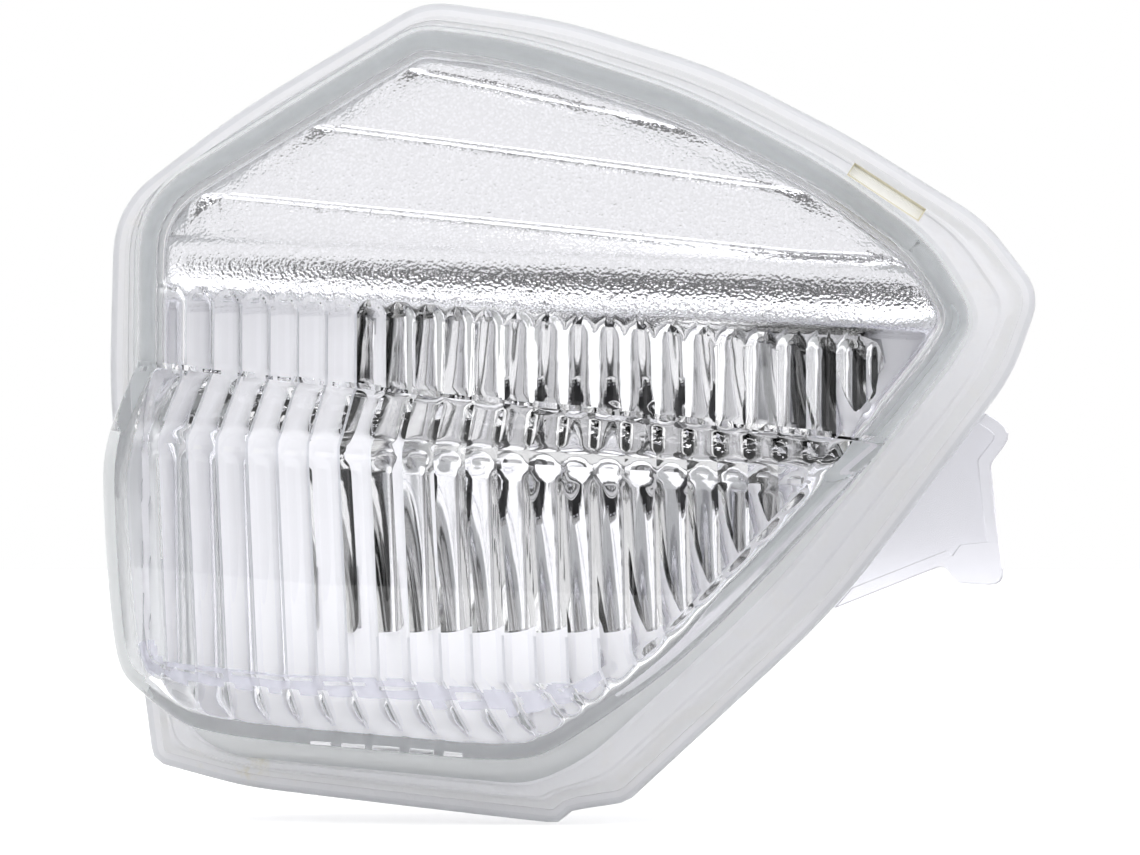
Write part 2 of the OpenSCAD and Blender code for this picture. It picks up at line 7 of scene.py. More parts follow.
import bmesh
import bpy
import numpy as np
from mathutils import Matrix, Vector


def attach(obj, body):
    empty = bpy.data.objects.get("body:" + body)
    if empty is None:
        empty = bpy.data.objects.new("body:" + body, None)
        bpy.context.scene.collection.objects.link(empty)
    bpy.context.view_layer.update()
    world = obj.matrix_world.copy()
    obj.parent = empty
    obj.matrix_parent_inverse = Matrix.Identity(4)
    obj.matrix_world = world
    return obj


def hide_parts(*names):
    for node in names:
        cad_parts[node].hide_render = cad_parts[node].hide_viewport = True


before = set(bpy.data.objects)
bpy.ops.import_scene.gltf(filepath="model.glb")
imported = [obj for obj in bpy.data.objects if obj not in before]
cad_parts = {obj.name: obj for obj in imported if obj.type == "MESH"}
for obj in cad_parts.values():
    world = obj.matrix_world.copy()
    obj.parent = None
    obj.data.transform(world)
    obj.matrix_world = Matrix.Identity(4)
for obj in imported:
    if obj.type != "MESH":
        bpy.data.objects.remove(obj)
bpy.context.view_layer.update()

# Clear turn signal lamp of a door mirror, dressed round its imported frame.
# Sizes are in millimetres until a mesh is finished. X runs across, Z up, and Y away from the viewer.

MM = 0.001
Rows = Sequence[Sequence[float]]
log = logging.getLogger("lamp")


# ---- surfaces and outlines ----

@dataclass(frozen=True)
class Barrel:
    """The barrel-shaped surface that the flange, the windows and the terraces follow."""

    bend_r: float = 150.0
    bend_x: float = 10.0
    crown_r: float = 180.0

    def depth(self, x: np.ndarray, z: np.ndarray, h: np.ndarray | float = 0.0) -> np.ndarray:
        """Y of the points at x and z that lie h above the barrel.

        Args:
            x: Places across the lamp.
            z: Heights.
            h: Height above the barrel, negative behind the flange's front.

        Returns:
            The depth of each point.
        """
        radius = self.bend_r - self.crown_r + np.sqrt(self.crown_r ** 2 - np.square(z))
        return self.bend_r - np.sqrt((radius + h) ** 2 - np.square(x - self.bend_x))


BARREL = Barrel()


class Turn(Enum):
    """How a corner list is rounded."""

    RADIUS = "by the radius that each corner gives"
    SOFT = "as one soft curve through the middle of each side"


def moved_in(corners: Rows, d: float) -> list[list[float]]:
    """A clockwise corner list moved inwards.

    Args:
        corners: Corners as across, up and any further values.
        d: Distance, inwards when positive.

    Returns:
        The moved corners, with their further values kept.
    """
    out = []
    for i, corner in enumerate(corners):
        a, b, c = (np.array(corners[(i + k) % len(corners)][:2], float) for k in (-1, 0, 1))
        u, v = (b - a) / np.linalg.norm(b - a), (c - b) / np.linalg.norm(c - b)
        p, q = np.array([u[1], -u[0]]), np.array([v[1], -v[0]])
        m = b + (p + q) * d / (1 + p @ q)
        out.append([m[0], m[1], *corner[2:]])
    return out


def turns_left(a: Sequence[float], b: Sequence[float], c: Sequence[float]) -> bool:
    """Whether a clockwise line turns the wrong way at b, which would make it hollow there."""
    return (b[0] - a[0]) * (c[1] - b[1]) - (b[1] - a[1]) * (c[0] - b[0]) > 0


def curve_through(corners: Rows, turn: Turn = Turn.RADIUS, steps: int = 8, shrink: float = 0.0,
                  closed: bool = True) -> np.ndarray:
    """Rounds a corner list.

    Args:
        corners: Corners as across, up and radius, or as across, up and any further values.
        turn: Whether the third value is a radius.
        steps: Straight pieces in each corner.
        shrink: What each radius loses, because the list was moved inwards.
        closed: Whether the last corner joins the first.

    Returns:
        One row per point of the outline, further values included.
    """
    rows = np.array(corners, float)
    n, out = len(rows), []
    for i in range(n):
        if not closed and i in (0, n - 1):
            out.append(rows[i])
            continue
        b, back, on = rows[i], rows[i - 1] - rows[i], rows[(i + 1) % n] - rows[i]
        lb, lo = np.linalg.norm(back[:2]), np.linalg.norm(on[:2])
        if turn is Turn.RADIUS:
            half = math.acos(max(-1.0, min(1.0, back[:2] @ on[:2] / lb / lo))) / 2
            cut = min(max(0.4, b[2] - shrink) / math.tan(half), lb * 0.48, lo * 0.48)
            a, c = b + back / lb * cut, b + on / lo * cut
        else:
            a, c = b + back / 2, b + on / 2
        last = steps if turn is Turn.RADIUS or not closed else steps - 1
        for j in range(last + 1):
            s = j / steps
            out.append((1 - s) ** 2 * a + 2 * s * (1 - s) * b + s * s * c)
    return np.array(out)


@dataclass
class Outline:
    """A clockwise closed outline in the XZ plane, with further values along it."""

    points: np.ndarray

    def __post_init__(self) -> None:
        """Drops points that fall together and measures the sides."""
        keep = np.linalg.norm(self.points[:, :2] - np.roll(self.points[:, :2], 1, axis=0), axis=1) > 1e-3
        self.points = self.points[keep]
        self.start = self.points[:, :2]
        self.side = np.roll(self.start, -1, axis=0) - self.start
        self.length = np.linalg.norm(self.side, axis=1)
        self.total = float(self.length.sum())
        self.reach = np.concatenate([[0.0], np.cumsum(self.length)])
        self.inward = np.stack([self.side[:, 1], -self.side[:, 0]], axis=1) / self.length[:, None]

    @classmethod
    def of(cls, corners: Rows, inset: float = 0.0, steps: int = 8) -> "Outline":
        """The rounded outline of a corner list, moved inwards.

        Args:
            corners: Corners as across, up and radius.
            inset: Distance inwards.
            steps: Straight pieces in each corner.

        Returns:
            The outline.
        """
        return cls(curve_through(moved_in(corners, inset), steps=steps, shrink=inset))

    def inside(self, x: np.ndarray, z: np.ndarray) -> np.ndarray:
        """How far each point lies inside the outline, which has no hollow side."""
        p = np.stack([x, z], axis=-1)
        return np.min(np.einsum("nmk,mk->nm", p[:, None, :] - self.start[None], self.inward), axis=1)

    def nearest(self, x: np.ndarray, z: np.ndarray) -> tuple[np.ndarray, np.ndarray]:
        """The nearest place on the outline.

        Args:
            x: Places across the lamp.
            z: Heights.

        Returns:
            The distance along the outline of each point's nearest place, and its distance from it.
        """
        p = np.stack([x, z], axis=-1)
        off = p[:, None, :] - self.start[None]
        t = np.clip(np.einsum("nmk,mk->nm", off, self.side) / self.length ** 2, 0, 1)
        gap = np.linalg.norm(off - t[..., None] * self.side[None], axis=2)
        best = np.argmin(gap, axis=1)
        rows = np.arange(len(p))
        return self.reach[best] + t[rows, best] * self.length[best], gap[rows, best]

    def at(self, s: np.ndarray) -> np.ndarray:
        """The outline's row of values at distances along it."""
        looped = np.concatenate([self.points, self.points[:1]])
        s = np.mod(s, self.total)
        return np.stack([np.interp(s, self.reach, looped[:, k]) for k in range(looped.shape[1])], axis=1)


@dataclass
class Match:
    """Pairs the places of two outlines that run round the same body."""

    near: Outline
    far: Outline
    near_keys: Rows
    far_keys: Rows

    def __post_init__(self) -> None:
        """Finds each key's distance along its outline, counted from the first key."""
        self.spans = []
        for line, keys in ((self.near, self.near_keys), (self.far, self.far_keys)):
            k = np.array(keys, float)
            s = line.nearest(k[:, 0], k[:, 1])[0]
            rel = np.mod(s - s[0], line.total)
            self.spans.append((s[0], np.concatenate([rel, [line.total]])))

    def across(self, x: np.ndarray, z: np.ndarray) -> np.ndarray:
        """The far outline's point for each point on the near one."""
        (near_start, near_span), (far_start, far_span) = self.spans
        s = np.mod(self.near.nearest(x, z)[0] - near_start, self.near.total)
        return self.far.at(np.interp(s, near_span, far_span) + far_start)


# ---- mesh helpers ----

def warped_grid(columns: np.ndarray, rows: int, height: Callable[[np.ndarray, np.ndarray], np.ndarray],
                slip: Callable[[np.ndarray, np.ndarray], np.ndarray] | None = None) -> bmesh.types.BMesh:
    """A grid whose columns stand at given places and whose rows follow given lines.

    Args:
        columns: Places across the lamp.
        rows: Rows of faces.
        height: Gives the heights for places across and for shares from the lowest row to the highest.
        slip: How far a column has leant aside at points of the grid; upright if it is left out.

    Returns:
        The grid, in the XZ plane.
    """
    bm = bmesh.new()
    bmesh.ops.create_grid(bm, x_segments=len(columns) - 1, y_segments=rows, size=0.5)
    co = np.array([v.co[:2] for v in bm.verts])
    low, high = co.min(axis=0), co.max(axis=0)
    i = np.rint((co[:, 0] - low[0]) / (high[0] - low[0]) * (len(columns) - 1)).astype(int)
    x, share = columns[i], np.rint((co[:, 1] - low[1]) / (high[1] - low[1]) * rows) / rows
    z = height(x, share)
    for _ in range(8 if slip else 0):
        x = columns[i] - slip(x, z)
        z = height(x, share)
    for v, vx, vz in zip(bm.verts, x, z):
        v.co = (vx, 0.0, vz)
    return bm


def trim(bm: bmesh.types.BMesh, outline: Outline, part: Callable[[np.ndarray, np.ndarray], np.ndarray] | None = None,
         keep: bool = False, margin: float = 1.6) -> None:
    """Cuts a flat grid along an outline without a hollow side.

    Args:
        bm: The grid, in the XZ plane.
        outline: The outline to cut along.
        part: Says which points the cut may touch; all of them if it is left out.
        keep: Leaves what is outside in place.
        margin: How near a face has to lie to the outline to be cut by its sides.
    """
    faces = list(bm.faces)
    mid = np.array([f.calc_center_median()[:] for f in faces])
    deep = outline.inside(mid[:, 0], mid[:, 2])
    mine = part(mid[:, 0], mid[:, 2]) if part else np.ones(len(faces), bool)
    if not keep:
        gone = [f for f, d, m in zip(faces, deep, mine) if m and d < -margin]
        cut = [f for f, d, m in zip(faces, deep, mine) if m and -margin <= d < margin]
        bmesh.ops.delete(bm, geom=gone, context="FACES")
    else:
        cut = [f for f, d, m in zip(faces, deep, mine) if m and abs(d) < margin]
    for k in range(len(outline.start)):
        a, inward = outline.start[k], outline.inward[k]
        if keep:
            b = a + outline.side[k]
            cut = [f for f in cut if f.is_valid]
            here = [f for f in cut if _beside(f, a, b, margin)]
        else:
            here = cut
        geom = list({v for f in here for v in f.verts}) + list({e for f in here for e in f.edges}) + here
        made = bmesh.ops.bisect_plane(bm, geom=geom, dist=1e-4, plane_co=(a[0], 0, a[1]),
                                      plane_no=(-inward[0], 0, -inward[1]), clear_outer=not keep)
        new = [g for g in made["geom"] if isinstance(g, bmesh.types.BMFace)]
        cut = new if not keep else list({*cut, *new})


def _beside(face: bmesh.types.BMFace, a: np.ndarray, b: np.ndarray, margin: float) -> bool:
    """Whether a face lies beside the side from a to b."""
    c = face.calc_center_median()
    p = np.array([c[0], c[2]])
    t = np.clip((p - a) @ (b - a) / ((b - a) @ (b - a)), 0, 1)
    return bool(np.linalg.norm(p - a - t * (b - a)) < margin * 0.6)


def rim_edges(bm: bmesh.types.BMesh) -> list[bmesh.types.BMEdge]:
    """The edges that have one face."""
    return [e for e in bm.edges if len(e.link_faces) == 1]


def next_ring(bm: bmesh.types.BMesh, edges: list[bmesh.types.BMEdge],
              place: Callable[[list[bmesh.types.BMVert]], np.ndarray], slot: int = 0) -> list[bmesh.types.BMEdge]:
    """Draws a loop of edges out to a new ring.

    Args:
        bm: The mesh.
        edges: The loop.
        place: Gives the new points for the drawn vertices, one row each.
        slot: Material slot of the new faces.

    Returns:
        The new loop.
    """
    made = bmesh.ops.extrude_edge_only(bm, edges=edges)["geom"]
    verts = [g for g in made if isinstance(g, bmesh.types.BMVert)]
    new = place(verts)
    for v, co in zip(verts, new):
        v.co = co
    for f in made:
        if isinstance(f, bmesh.types.BMFace):
            f.material_index = slot
    for g in made:
        if isinstance(g, bmesh.types.BMEdge):
            for f in g.link_faces:
                f.material_index = slot
    return [g for g in made if isinstance(g, bmesh.types.BMEdge) and len(g.link_faces) == 1]


def finished(bm: bmesh.types.BMesh, name: str, materials: Sequence[bpy.types.Material],
             replaces: Sequence[str] = (), sharp: float = 35.0, outward: bool = True) -> bpy.types.Object:
    """Brings a mesh to metres, links it and names it to the frame.

    Args:
        bm: The mesh, in millimetres.
        name: The piece's name.
        materials: Its material slots.
        replaces: CAD nodes that it stands for.
        sharp: Angle in degrees from which an edge stays sharp.
        outward: Whether the normals are worked out again.

    Returns:
        The piece.
    """
    bmesh.ops.scale(bm, vec=(MM, MM, MM), verts=bm.verts)
    if outward:
        bmesh.ops.recalc_face_normals(bm, faces=bm.faces)
    mesh = bpy.data.meshes.new(name)
    bm.to_mesh(mesh)
    bm.free()
    for m in materials:
        mesh.materials.append(m)
    mesh.shade_smooth()
    mesh.set_sharp_from_angle(angle=math.radians(sharp))
    piece = bpy.data.objects.new(name, mesh)
    bpy.context.scene.collection.objects.link(piece)
    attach(piece, "root")
    if replaces:
        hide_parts(*replaces)
    log.info("%s: %d faces", name, len(mesh.polygons))
    return piece


# ---- finishes ----

def node(tree: bpy.types.NodeTree, kind: str, **values: object) -> bpy.types.Node:
    """Adds a shader node and sets its properties and input values.

    Args:
        tree: The node tree.
        kind: The node's type name.
        values: Properties by name, or input values by the input's name with underscores.

    Returns:
        The node.
    """
    made = tree.nodes.new(kind)
    for key, value in values.items():
        if hasattr(made, key) and key not in ("color",):
            setattr(made, key, value)
        else:
            made.inputs[key.replace("_", " ")].default_value = value
    return made


def group(name: str, inputs: dict[str, float], outputs: Sequence[str]) -> tuple[bpy.types.NodeTree, bpy.types.Node, bpy.types.Node]:
    """Starts a shader node group with a Vector input and named numbers.

    Args:
        name: The group's name.
        inputs: Number inputs with their default values.
        outputs: Number outputs.

    Returns:
        The tree, its input node and its output node.
    """
    tree = bpy.data.node_groups.new(name, "ShaderNodeTree")
    tree.interface.new_socket("Vector", in_out="INPUT", socket_type="NodeSocketVector")
    for key, value in inputs.items():
        tree.interface.new_socket(key, in_out="INPUT", socket_type="NodeSocketFloat").default_value = value
    for key in outputs:
        tree.interface.new_socket(key, in_out="OUTPUT", socket_type="NodeSocketFloat")
    return tree, tree.nodes.new("NodeGroupInput"), tree.nodes.new("NodeGroupOutput")


def grain_group() -> bpy.types.NodeTree:
    """Fine moulded grain: a height and a mask of its hollows.

    Returns:
        The group, with inputs Vector, Size and Depth, and outputs Height and Hollows.
    """
    tree, start, end = group("moulded grain", {"Scale": 2500.0, "Depth": 1.0}, ("Height", "Hollows"))
    fine = node(tree, "ShaderNodeTexNoise", Detail=2.0, Roughness=0.6)
    cells = node(tree, "ShaderNodeTexVoronoi", feature="SMOOTH_F1", Smoothness=0.5)
    add = node(tree, "ShaderNodeMath", operation="ADD")
    scaled = node(tree, "ShaderNodeMath", operation="MULTIPLY")
    hollow = node(tree, "ShaderNodeMapRange")
    hollow.inputs["From Min"].default_value, hollow.inputs["From Max"].default_value = 0.55, 1.1
    link = tree.links.new
    for t in (fine, cells):
        link(start.outputs["Vector"], t.inputs["Vector"])
        link(start.outputs["Scale"], t.inputs["Scale"])
    link(fine.outputs["Fac"], add.inputs[0])
    link(cells.outputs["Distance"], add.inputs[1])
    link(add.outputs[0], scaled.inputs[0])
    link(start.outputs["Depth"], scaled.inputs[1])
    link(scaled.outputs[0], end.inputs["Height"])
    link(add.outputs[0], hollow.inputs["Value"])
    link(hollow.outputs["Result"], end.inputs["Hollows"])
    return tree


def haze_group() -> bpy.types.NodeTree:
    """Slow unevenness of a moulding: a height that waves and a mask of faint smears.

    Returns:
        The group, with inputs Vector and Scale, and outputs Height and Smears.
    """
    tree, start, end = group("moulding haze", {"Scale": 60.0}, ("Height", "Smears"))
    wave = node(tree, "ShaderNodeTexNoise", Detail=1.0)
    smear = node(tree, "ShaderNodeTexNoise", Detail=4.0, Roughness=0.65, Distortion=0.6)
    times = node(tree, "ShaderNodeMath", operation="MULTIPLY")
    times.inputs[1].default_value = 3.0
    band = node(tree, "ShaderNodeMapRange")
    band.inputs["From Min"].default_value, band.inputs["From Max"].default_value = 0.52, 0.72
    link = tree.links.new
    link(start.outputs["Vector"], wave.inputs["Vector"])
    link(start.outputs["Scale"], wave.inputs["Scale"])
    link(start.outputs["Vector"], smear.inputs["Vector"])
    link(start.outputs["Scale"], times.inputs[0])
    link(times.outputs[0], smear.inputs["Scale"])
    link(wave.outputs["Fac"], end.inputs["Height"])
    link(smear.outputs["Fac"], band.inputs["Value"])
    link(band.outputs["Result"], end.inputs["Smears"])
    return tree


class Groups:
    """The shared shader node groups, built once."""

    made: dict[str, bpy.types.NodeTree] = {}

    @classmethod
    def get(cls, name: str, build: Callable[[], bpy.types.NodeTree]) -> bpy.types.NodeTree:
        """The named group, built at its first use."""
        if name not in cls.made:
            cls.made[name] = build()
        return cls.made[name]


@dataclass(frozen=True)
class Finish:
    """One finish: what every material of the lamp is built from."""

    name: str
    color: tuple[float, float, float]
    roughness: float
    metallic: float = 0.0
    transmission: float = 0.0
    ior: float = 1.5
    grain_scale: float = 0.0
    grain_depth: float = 0.0
    # Darkening along the grain's Hollows mask: painted shade.
    grain_shade: float = 0.0
    wave: float = 0.0
    wave_scale: float = 60.0
    smear: tuple[float, float, float] | None = None
    smear_share: float = 0.5
    smear_at: tuple[float, float, float] | None = None
    smear_reach: float = 7.0
    spread: float = 0.0
    alpha: float = 1.0

    def material(self) -> bpy.types.Material:
        """Builds the finish as a material on object coordinates.

        Returns:
            The material.
        """
        made = bpy.data.materials.new(self.name)
        made.use_nodes = True
        tree = made.node_tree
        shader = tree.nodes["Principled BSDF"]
        coords = node(tree, "ShaderNodeTexCoord")
        for key, value in (("Roughness", self.roughness), ("Metallic", self.metallic),
                           ("Transmission Weight", self.transmission), ("IOR", self.ior), ("Alpha", self.alpha),
                           ("Base Color", (*self.color, 1.0))):
            shader.inputs[key].default_value = value
        heights = []
        if self.grain_depth:
            grain = node(tree, "ShaderNodeGroup")
            grain.node_tree = Groups.get("grain", grain_group)
            grain.inputs["Scale"].default_value = self.grain_scale
            grain.inputs["Depth"].default_value = 1.0
            tree.links.new(coords.outputs["Object"], grain.inputs["Vector"])
            heights.append((grain.outputs["Height"], self.grain_depth))
            # The grain's Hollows mask is tinted darker: painted shade that brings out the stipple.
            if self.grain_shade:
                mix = node(tree, "ShaderNodeMix", data_type="RGBA")
                mix.inputs["A"].default_value = (*self.color, 1.0)
                mix.inputs["B"].default_value = (*(c * (1 - self.grain_shade) for c in self.color), 1.0)
                tree.links.new(grain.outputs["Hollows"], mix.inputs["Factor"])
                tree.links.new(mix.outputs["Result"], shader.inputs["Base Color"])
        if self.wave or self.smear:
            haze = node(tree, "ShaderNodeGroup")
            haze.node_tree = Groups.get("haze", haze_group)
            haze.inputs["Scale"].default_value = self.wave_scale
            tree.links.new(coords.outputs["Object"], haze.inputs["Vector"])
            if self.wave:
                heights.append((haze.outputs["Height"], self.wave))
            if self.smear:
                share = node(tree, "ShaderNodeMath", operation="MULTIPLY")
                share.inputs[1].default_value = self.smear_share
                if self.smear_at:
                    gap = node(tree, "ShaderNodeVectorMath", operation="DISTANCE")
                    gap.inputs[1].default_value = [c * MM for c in self.smear_at]
                    near = node(tree, "ShaderNodeMapRange")
                    near.inputs["From Max"].default_value = self.smear_reach * MM
                    near.inputs["To Min"].default_value, near.inputs["To Max"].default_value = 1.0, self.smear_share
                    tree.links.new(coords.outputs["Object"], gap.inputs[0])
                    tree.links.new(gap.outputs["Value"], near.inputs["Value"])
                    tree.links.new(near.outputs["Result"], share.inputs[1])
                mix = node(tree, "ShaderNodeMix", data_type="RGBA")
                mix.inputs["A"].default_value = (*self.color, 1.0)
                mix.inputs["B"].default_value = (*self.smear, 1.0)
                tree.links.new(haze.outputs["Smears"], share.inputs[0])
                tree.links.new(share.outputs[0], mix.inputs["Factor"])
                tree.links.new(mix.outputs["Result"], shader.inputs["Base Color"])
            if self.spread:
                rough = node(tree, "ShaderNodeMapRange")
                rough.inputs["To Min"].default_value = self.roughness
                rough.inputs["To Max"].default_value = min(1.0, self.roughness + self.spread)
                tree.links.new(haze.outputs["Smears"], rough.inputs["Value"])
                tree.links.new(rough.outputs["Result"], shader.inputs["Roughness"])
        normal = None
        for height, depth in heights:
            bump = node(tree, "ShaderNodeBump")
            bump.inputs["Strength"].default_value = 1.0
            bump.inputs["Distance"].default_value = depth * MM
            tree.links.new(height, bump.inputs["Height"])
            if normal:
                tree.links.new(normal, bump.inputs["Normal"])
            normal = bump.outputs["Normal"]
        if normal:
            tree.links.new(normal, shader.inputs["Normal"])
        return made


# ---- the lens ----

@dataclass(frozen=True)
class FaceLine:
    """The line round the lens's face, in its part above the step and its part below."""

    upper: Outline
    lower: Outline
    loop: Outline
    keys: Rows


@dataclass
class OuterLens:
    """The clear lens: a flange, an upper window and a bulge, with flutes on the inside."""

    wall: float = 2.2
    flange_t: float = 3.0
    rim_w: float = 1.4
    rim_step: float = 0.8
    window_h: float = 4.0
    bulge_h: float = 10.5
    flute_pitch: float = 3.0
    flute_cuts: int = 12
    flute_d: float = 0.6
    flange_corners: Rows = (
        (-17.7, 45.6, 8), (-4, 43.5, 60), (12, 38.4, 60), (25.2, 31.6, 80), (38.8, 23.2, 15),
        (44.6, 15.8, 5), (41.5, 7.4, 20), (23.8, -15.9, 80), (2.8, -35.5, 3), (-2.8, -36.4, 1),
        (-4.2, -37.7, 1.5), (-36, -34.3, 40), (-45.6, -31.9, 2), (-50, 5, 80), (-49.6, 24.9, 10),
        (-36.5, 34.6, 100))
    wall_corners: Rows = (
        (-18.5, 43.1, 7), (-8, 41.7, 60), (9, 36.1, 60), (23, 28.8, 60), (33.6, 21.1, 25),
        (38.2, 13, 6), (35, 8, 20), (17, -14.2, 80), (-1, -30.8, 20), (-7, -33.7, 10),
        (-42.3, -30.6, 9), (-47.3, 5, 80), (-47.3, 25.8, 11))
    # The bulge's shoulder: across, up, share of the bulge's height, width of the bevel inside it, roundness.
    shoulder: Rows = (
        (26.6, -1.5, 0.8, 2, 1), (17.2, -11.8, 0.78, 1.7, 1), (8, -21.2, 0.7, 2.8, 0.8),
        (-3.6, -29.4, 0.56, 4.6, 0.3), (-8, -31.2, 0.58, 6, 0.1), (-20, -30.2, 0.6, 6.2, 0),
        (-40.1, -28.6, 0.62, 6.2, 0.1), (-44.2, -26, 0.64, 4.5, 0.5), (-46.2, -24.2, 0.7, 3.2, 0.8),
        (-47.9, -22.6, 0.72, 2.6, 1), (-48.7, -20, 0.74, 2.3, 1), (-49.3, -14, 0.74, 2.3, 1),
        (-49.8, -6, 0.74, 2.5, 1), (-49.9, 0.6, 0.72, 2.6, 1))
    shoulder_keys: tuple[int, ...] = (1, 4, 7, 11)
    edge_w: float = 1.5
    flange_keys: Rows = ((-17.7, 45.6), (44.3, 15.8), (2.5, -35.3), (-4.6, -37.6), (-45.4, -31.9), (-49.2, 25.6))
    wall_keys: Rows = ((-18.5, 43.1), (38, 13), (-1.4, -30.6), (-8, -33.6), (-42.3, -30), (-47, 26))

    def flute_top(self, x: np.ndarray) -> np.ndarray:
        """Height of the flutes' upper ends."""
        return 13.1 - 0.0836 * x

    def step_top(self, x: np.ndarray) -> np.ndarray:
        """Height at which the window turns down into the step."""
        return 3.62 - 0.1047 * x

    def step_foot(self, x: np.ndarray) -> np.ndarray:
        """Height at which the step meets the bulge's front."""
        return -1.5 - 0.0579 * x

    def bulge(self, x: np.ndarray) -> np.ndarray:
        """Height of the bulge's front above the barrel."""
        return self.bulge_h - 0.045 * x

    def rows(self, x: np.ndarray, t: np.ndarray) -> np.ndarray:
        """Heights of the grid's rows, which follow the lens's lines."""
        lines = np.stack([np.full_like(x, -34.5), self.step_foot(x), self.step_top(x), self.flute_top(x),
                          np.full_like(x, 45.0)])
        shares = np.array([0.0, 0.44, 0.58, 0.74, 1.0])
        k = np.clip(np.searchsorted(shares, t, side="right") - 1, 0, 3)
        f = (t - shares[k]) / (shares[k + 1] - shares[k])
        i = np.arange(len(x))
        return lines[k, i] * (1 - f) + lines[k + 1, i] * f

    def face_line(self, g: float, crease: bool = False) -> "FaceLine":
        """The edge of the face, or the crease that runs inside it.

        Args:
            g: Distance inwards: 0 for the outside, the wall for the inside.
            crease: Whether the crease is wanted.

        Returns:
            The line.
        """
        upper = Outline.of(self.wall_corners, g + 0.5 + (self.edge_w + 0.4) * crease)
        ends = []
        for guess in ((-47.0, 8.5), (28.6, 0.6)):
            x = np.linspace(guess[0] - 6, guess[0] + 6, 2401)
            deep = upper.inside(x, self.step_top(x))
            x = x[np.argmin(np.abs(deep))]
            ends.append((float(x), float(self.step_top(x))))
        left, right = ends
        low = 2.6 - 1.1 * g
        ring = [*self.shoulder, (-30, 20, 0.7, 3, 1), (10, 20, 0.7, 3, 1)]
        inner = [moved_in(ring, g + (max(0.9, row[3] - g) + 0.5) * crease)[i]
                 for i, row in enumerate(self.shoulder)]
        keys = [left, *(upper.at(upper.nearest(*np.array([k], float).T)[0])[0][:2] for k in self.wall_keys[-1:]),
                *(upper.at(upper.nearest(*np.array([k], float).T)[0])[0][:2] for k in self.wall_keys[:2]),
                right, *(inner[i][:2] for i in self.shoulder_keys)]
        rows = [(right[0], right[1], max(0.05, low / self.bulge(right[0])), 1.5, 1), *inner,
                (left[0], left[1], max(0.05, low / self.bulge(left[0])), 1.5, 1)]
        for ends_at in (1, -2):
            while turns_left(*(rows[ends_at + k][:2] for k in (-1, 0, 1))):
                del rows[ends_at]
        lower = Outline(curve_through(rows, Turn.SOFT, steps=7, closed=False))
        top = upper.points[:, :2]
        start = int(np.argmin(np.linalg.norm(top - left, axis=1)))
        top = np.roll(top, -start, axis=0)
        top = top[top[:, 1] > self.step_top(top[:, 0]) + 1e-3]
        return FaceLine(upper, lower, Outline(np.concatenate([[left], top, lower.points[:, :2]])), keys)

    def levels(self, x: np.ndarray, z: np.ndarray, upper: Outline, lower: Outline, g: float) -> np.ndarray:
        """Height of the face above the barrel.

        Args:
            x: Places across the lamp.
            z: Heights.
            upper: The edge above the step.
            lower: The edge below it.
            g: 0 for the outside, the wall for the inside.

        Returns:
            The heights.
        """
        top = self.window_h - g
        edge = 2.6 - 1.1 * g
        turn = np.clip(upper.inside(x, z) / self.edge_w, 0, 1)
        window = edge + (top - edge) * np.sqrt(1 - (1 - turn) ** 2)
        front = self.bulge(x) - g
        z_top, z_foot = self.step_top(x) - 0.3 * g, self.step_foot(x) + 0.25 * g
        fall = np.clip((z_top - z) / (z_top - z_foot), 0, 2)
        ramp = soft_min(top + (front - top) * fall, front, 0.9)
        s, d = lower.nearest(x, z)
        row = lower.at(s)
        wide = np.maximum(0.9, row[:, 3] - g)
        t = np.clip(d / wide, 0, 1)
        bend = (1 - row[:, 4]) * t + row[:, 4] * np.sqrt(1 - (1 - t) ** 2)
        base = self.bulge(x) * row[:, 2] - 0.4 * g
        bevel = base + (front - base) * bend
        low = soft_min(ramp, bevel, 0.35)
        return np.where(z >= self.step_top(x), window, low)

    def slip(self, x: np.ndarray, z: np.ndarray) -> np.ndarray:
        """How far the flutes have leant aside at points of the face."""
        fall = np.clip((self.step_top(x) - z) / (self.step_top(x) - self.step_foot(x)), 0, 1)
        down = np.clip((self.step_foot(x) - z) / 22.0, 0, 1.2)
        return 0.05 * np.clip(5 - x, 0, None) * fall - 0.9 * down

    def phase(self, x: np.ndarray, z: np.ndarray) -> np.ndarray:
        """Flutes counted across the face, whole at their middles."""
        lined = x + self.slip(x, z) - BARREL.bend_x
        return BARREL.bend_r * np.arcsin(lined / BARREL.bend_r) / self.flute_pitch

    def flutes(self, x: np.ndarray, z: np.ndarray, phase: np.ndarray, lower: Outline) -> tuple[np.ndarray, np.ndarray]:
        """How far the flutes stand in from the inner face.

        Args:
            x: Places across the lamp.
            z: Heights.
            phase: Flutes counted across.
            lower: The inner edge below the step.

        Returns:
            The depth of the flutes, and where the face is fluted at all.
        """
        top, step, foot = self.flute_top(x), self.step_top(x), self.step_foot(x)
        t = 2 * (phase - np.rint(phase))
        arch = top - 1.3 * t ** 2
        zone = np.clip((arch - z) / 0.6, 0, 1) * np.clip((27.5 - x) / 1.0, 0, 1) * np.clip((x + 45.5) / 0.8, 0, 1)
        seam = 1 - 0.75 * np.exp(-((z - foot + 0.7) / 0.45) ** 2) - 0.6 * np.exp(-((z - step) / 0.35) ** 2)
        side = np.where(z < step, np.clip((lower.nearest(x, z)[1]) / 1.2, 0, 1), 1)
        return self.flute_d * (1 - t ** 2) * zone * seam * side, zone * side

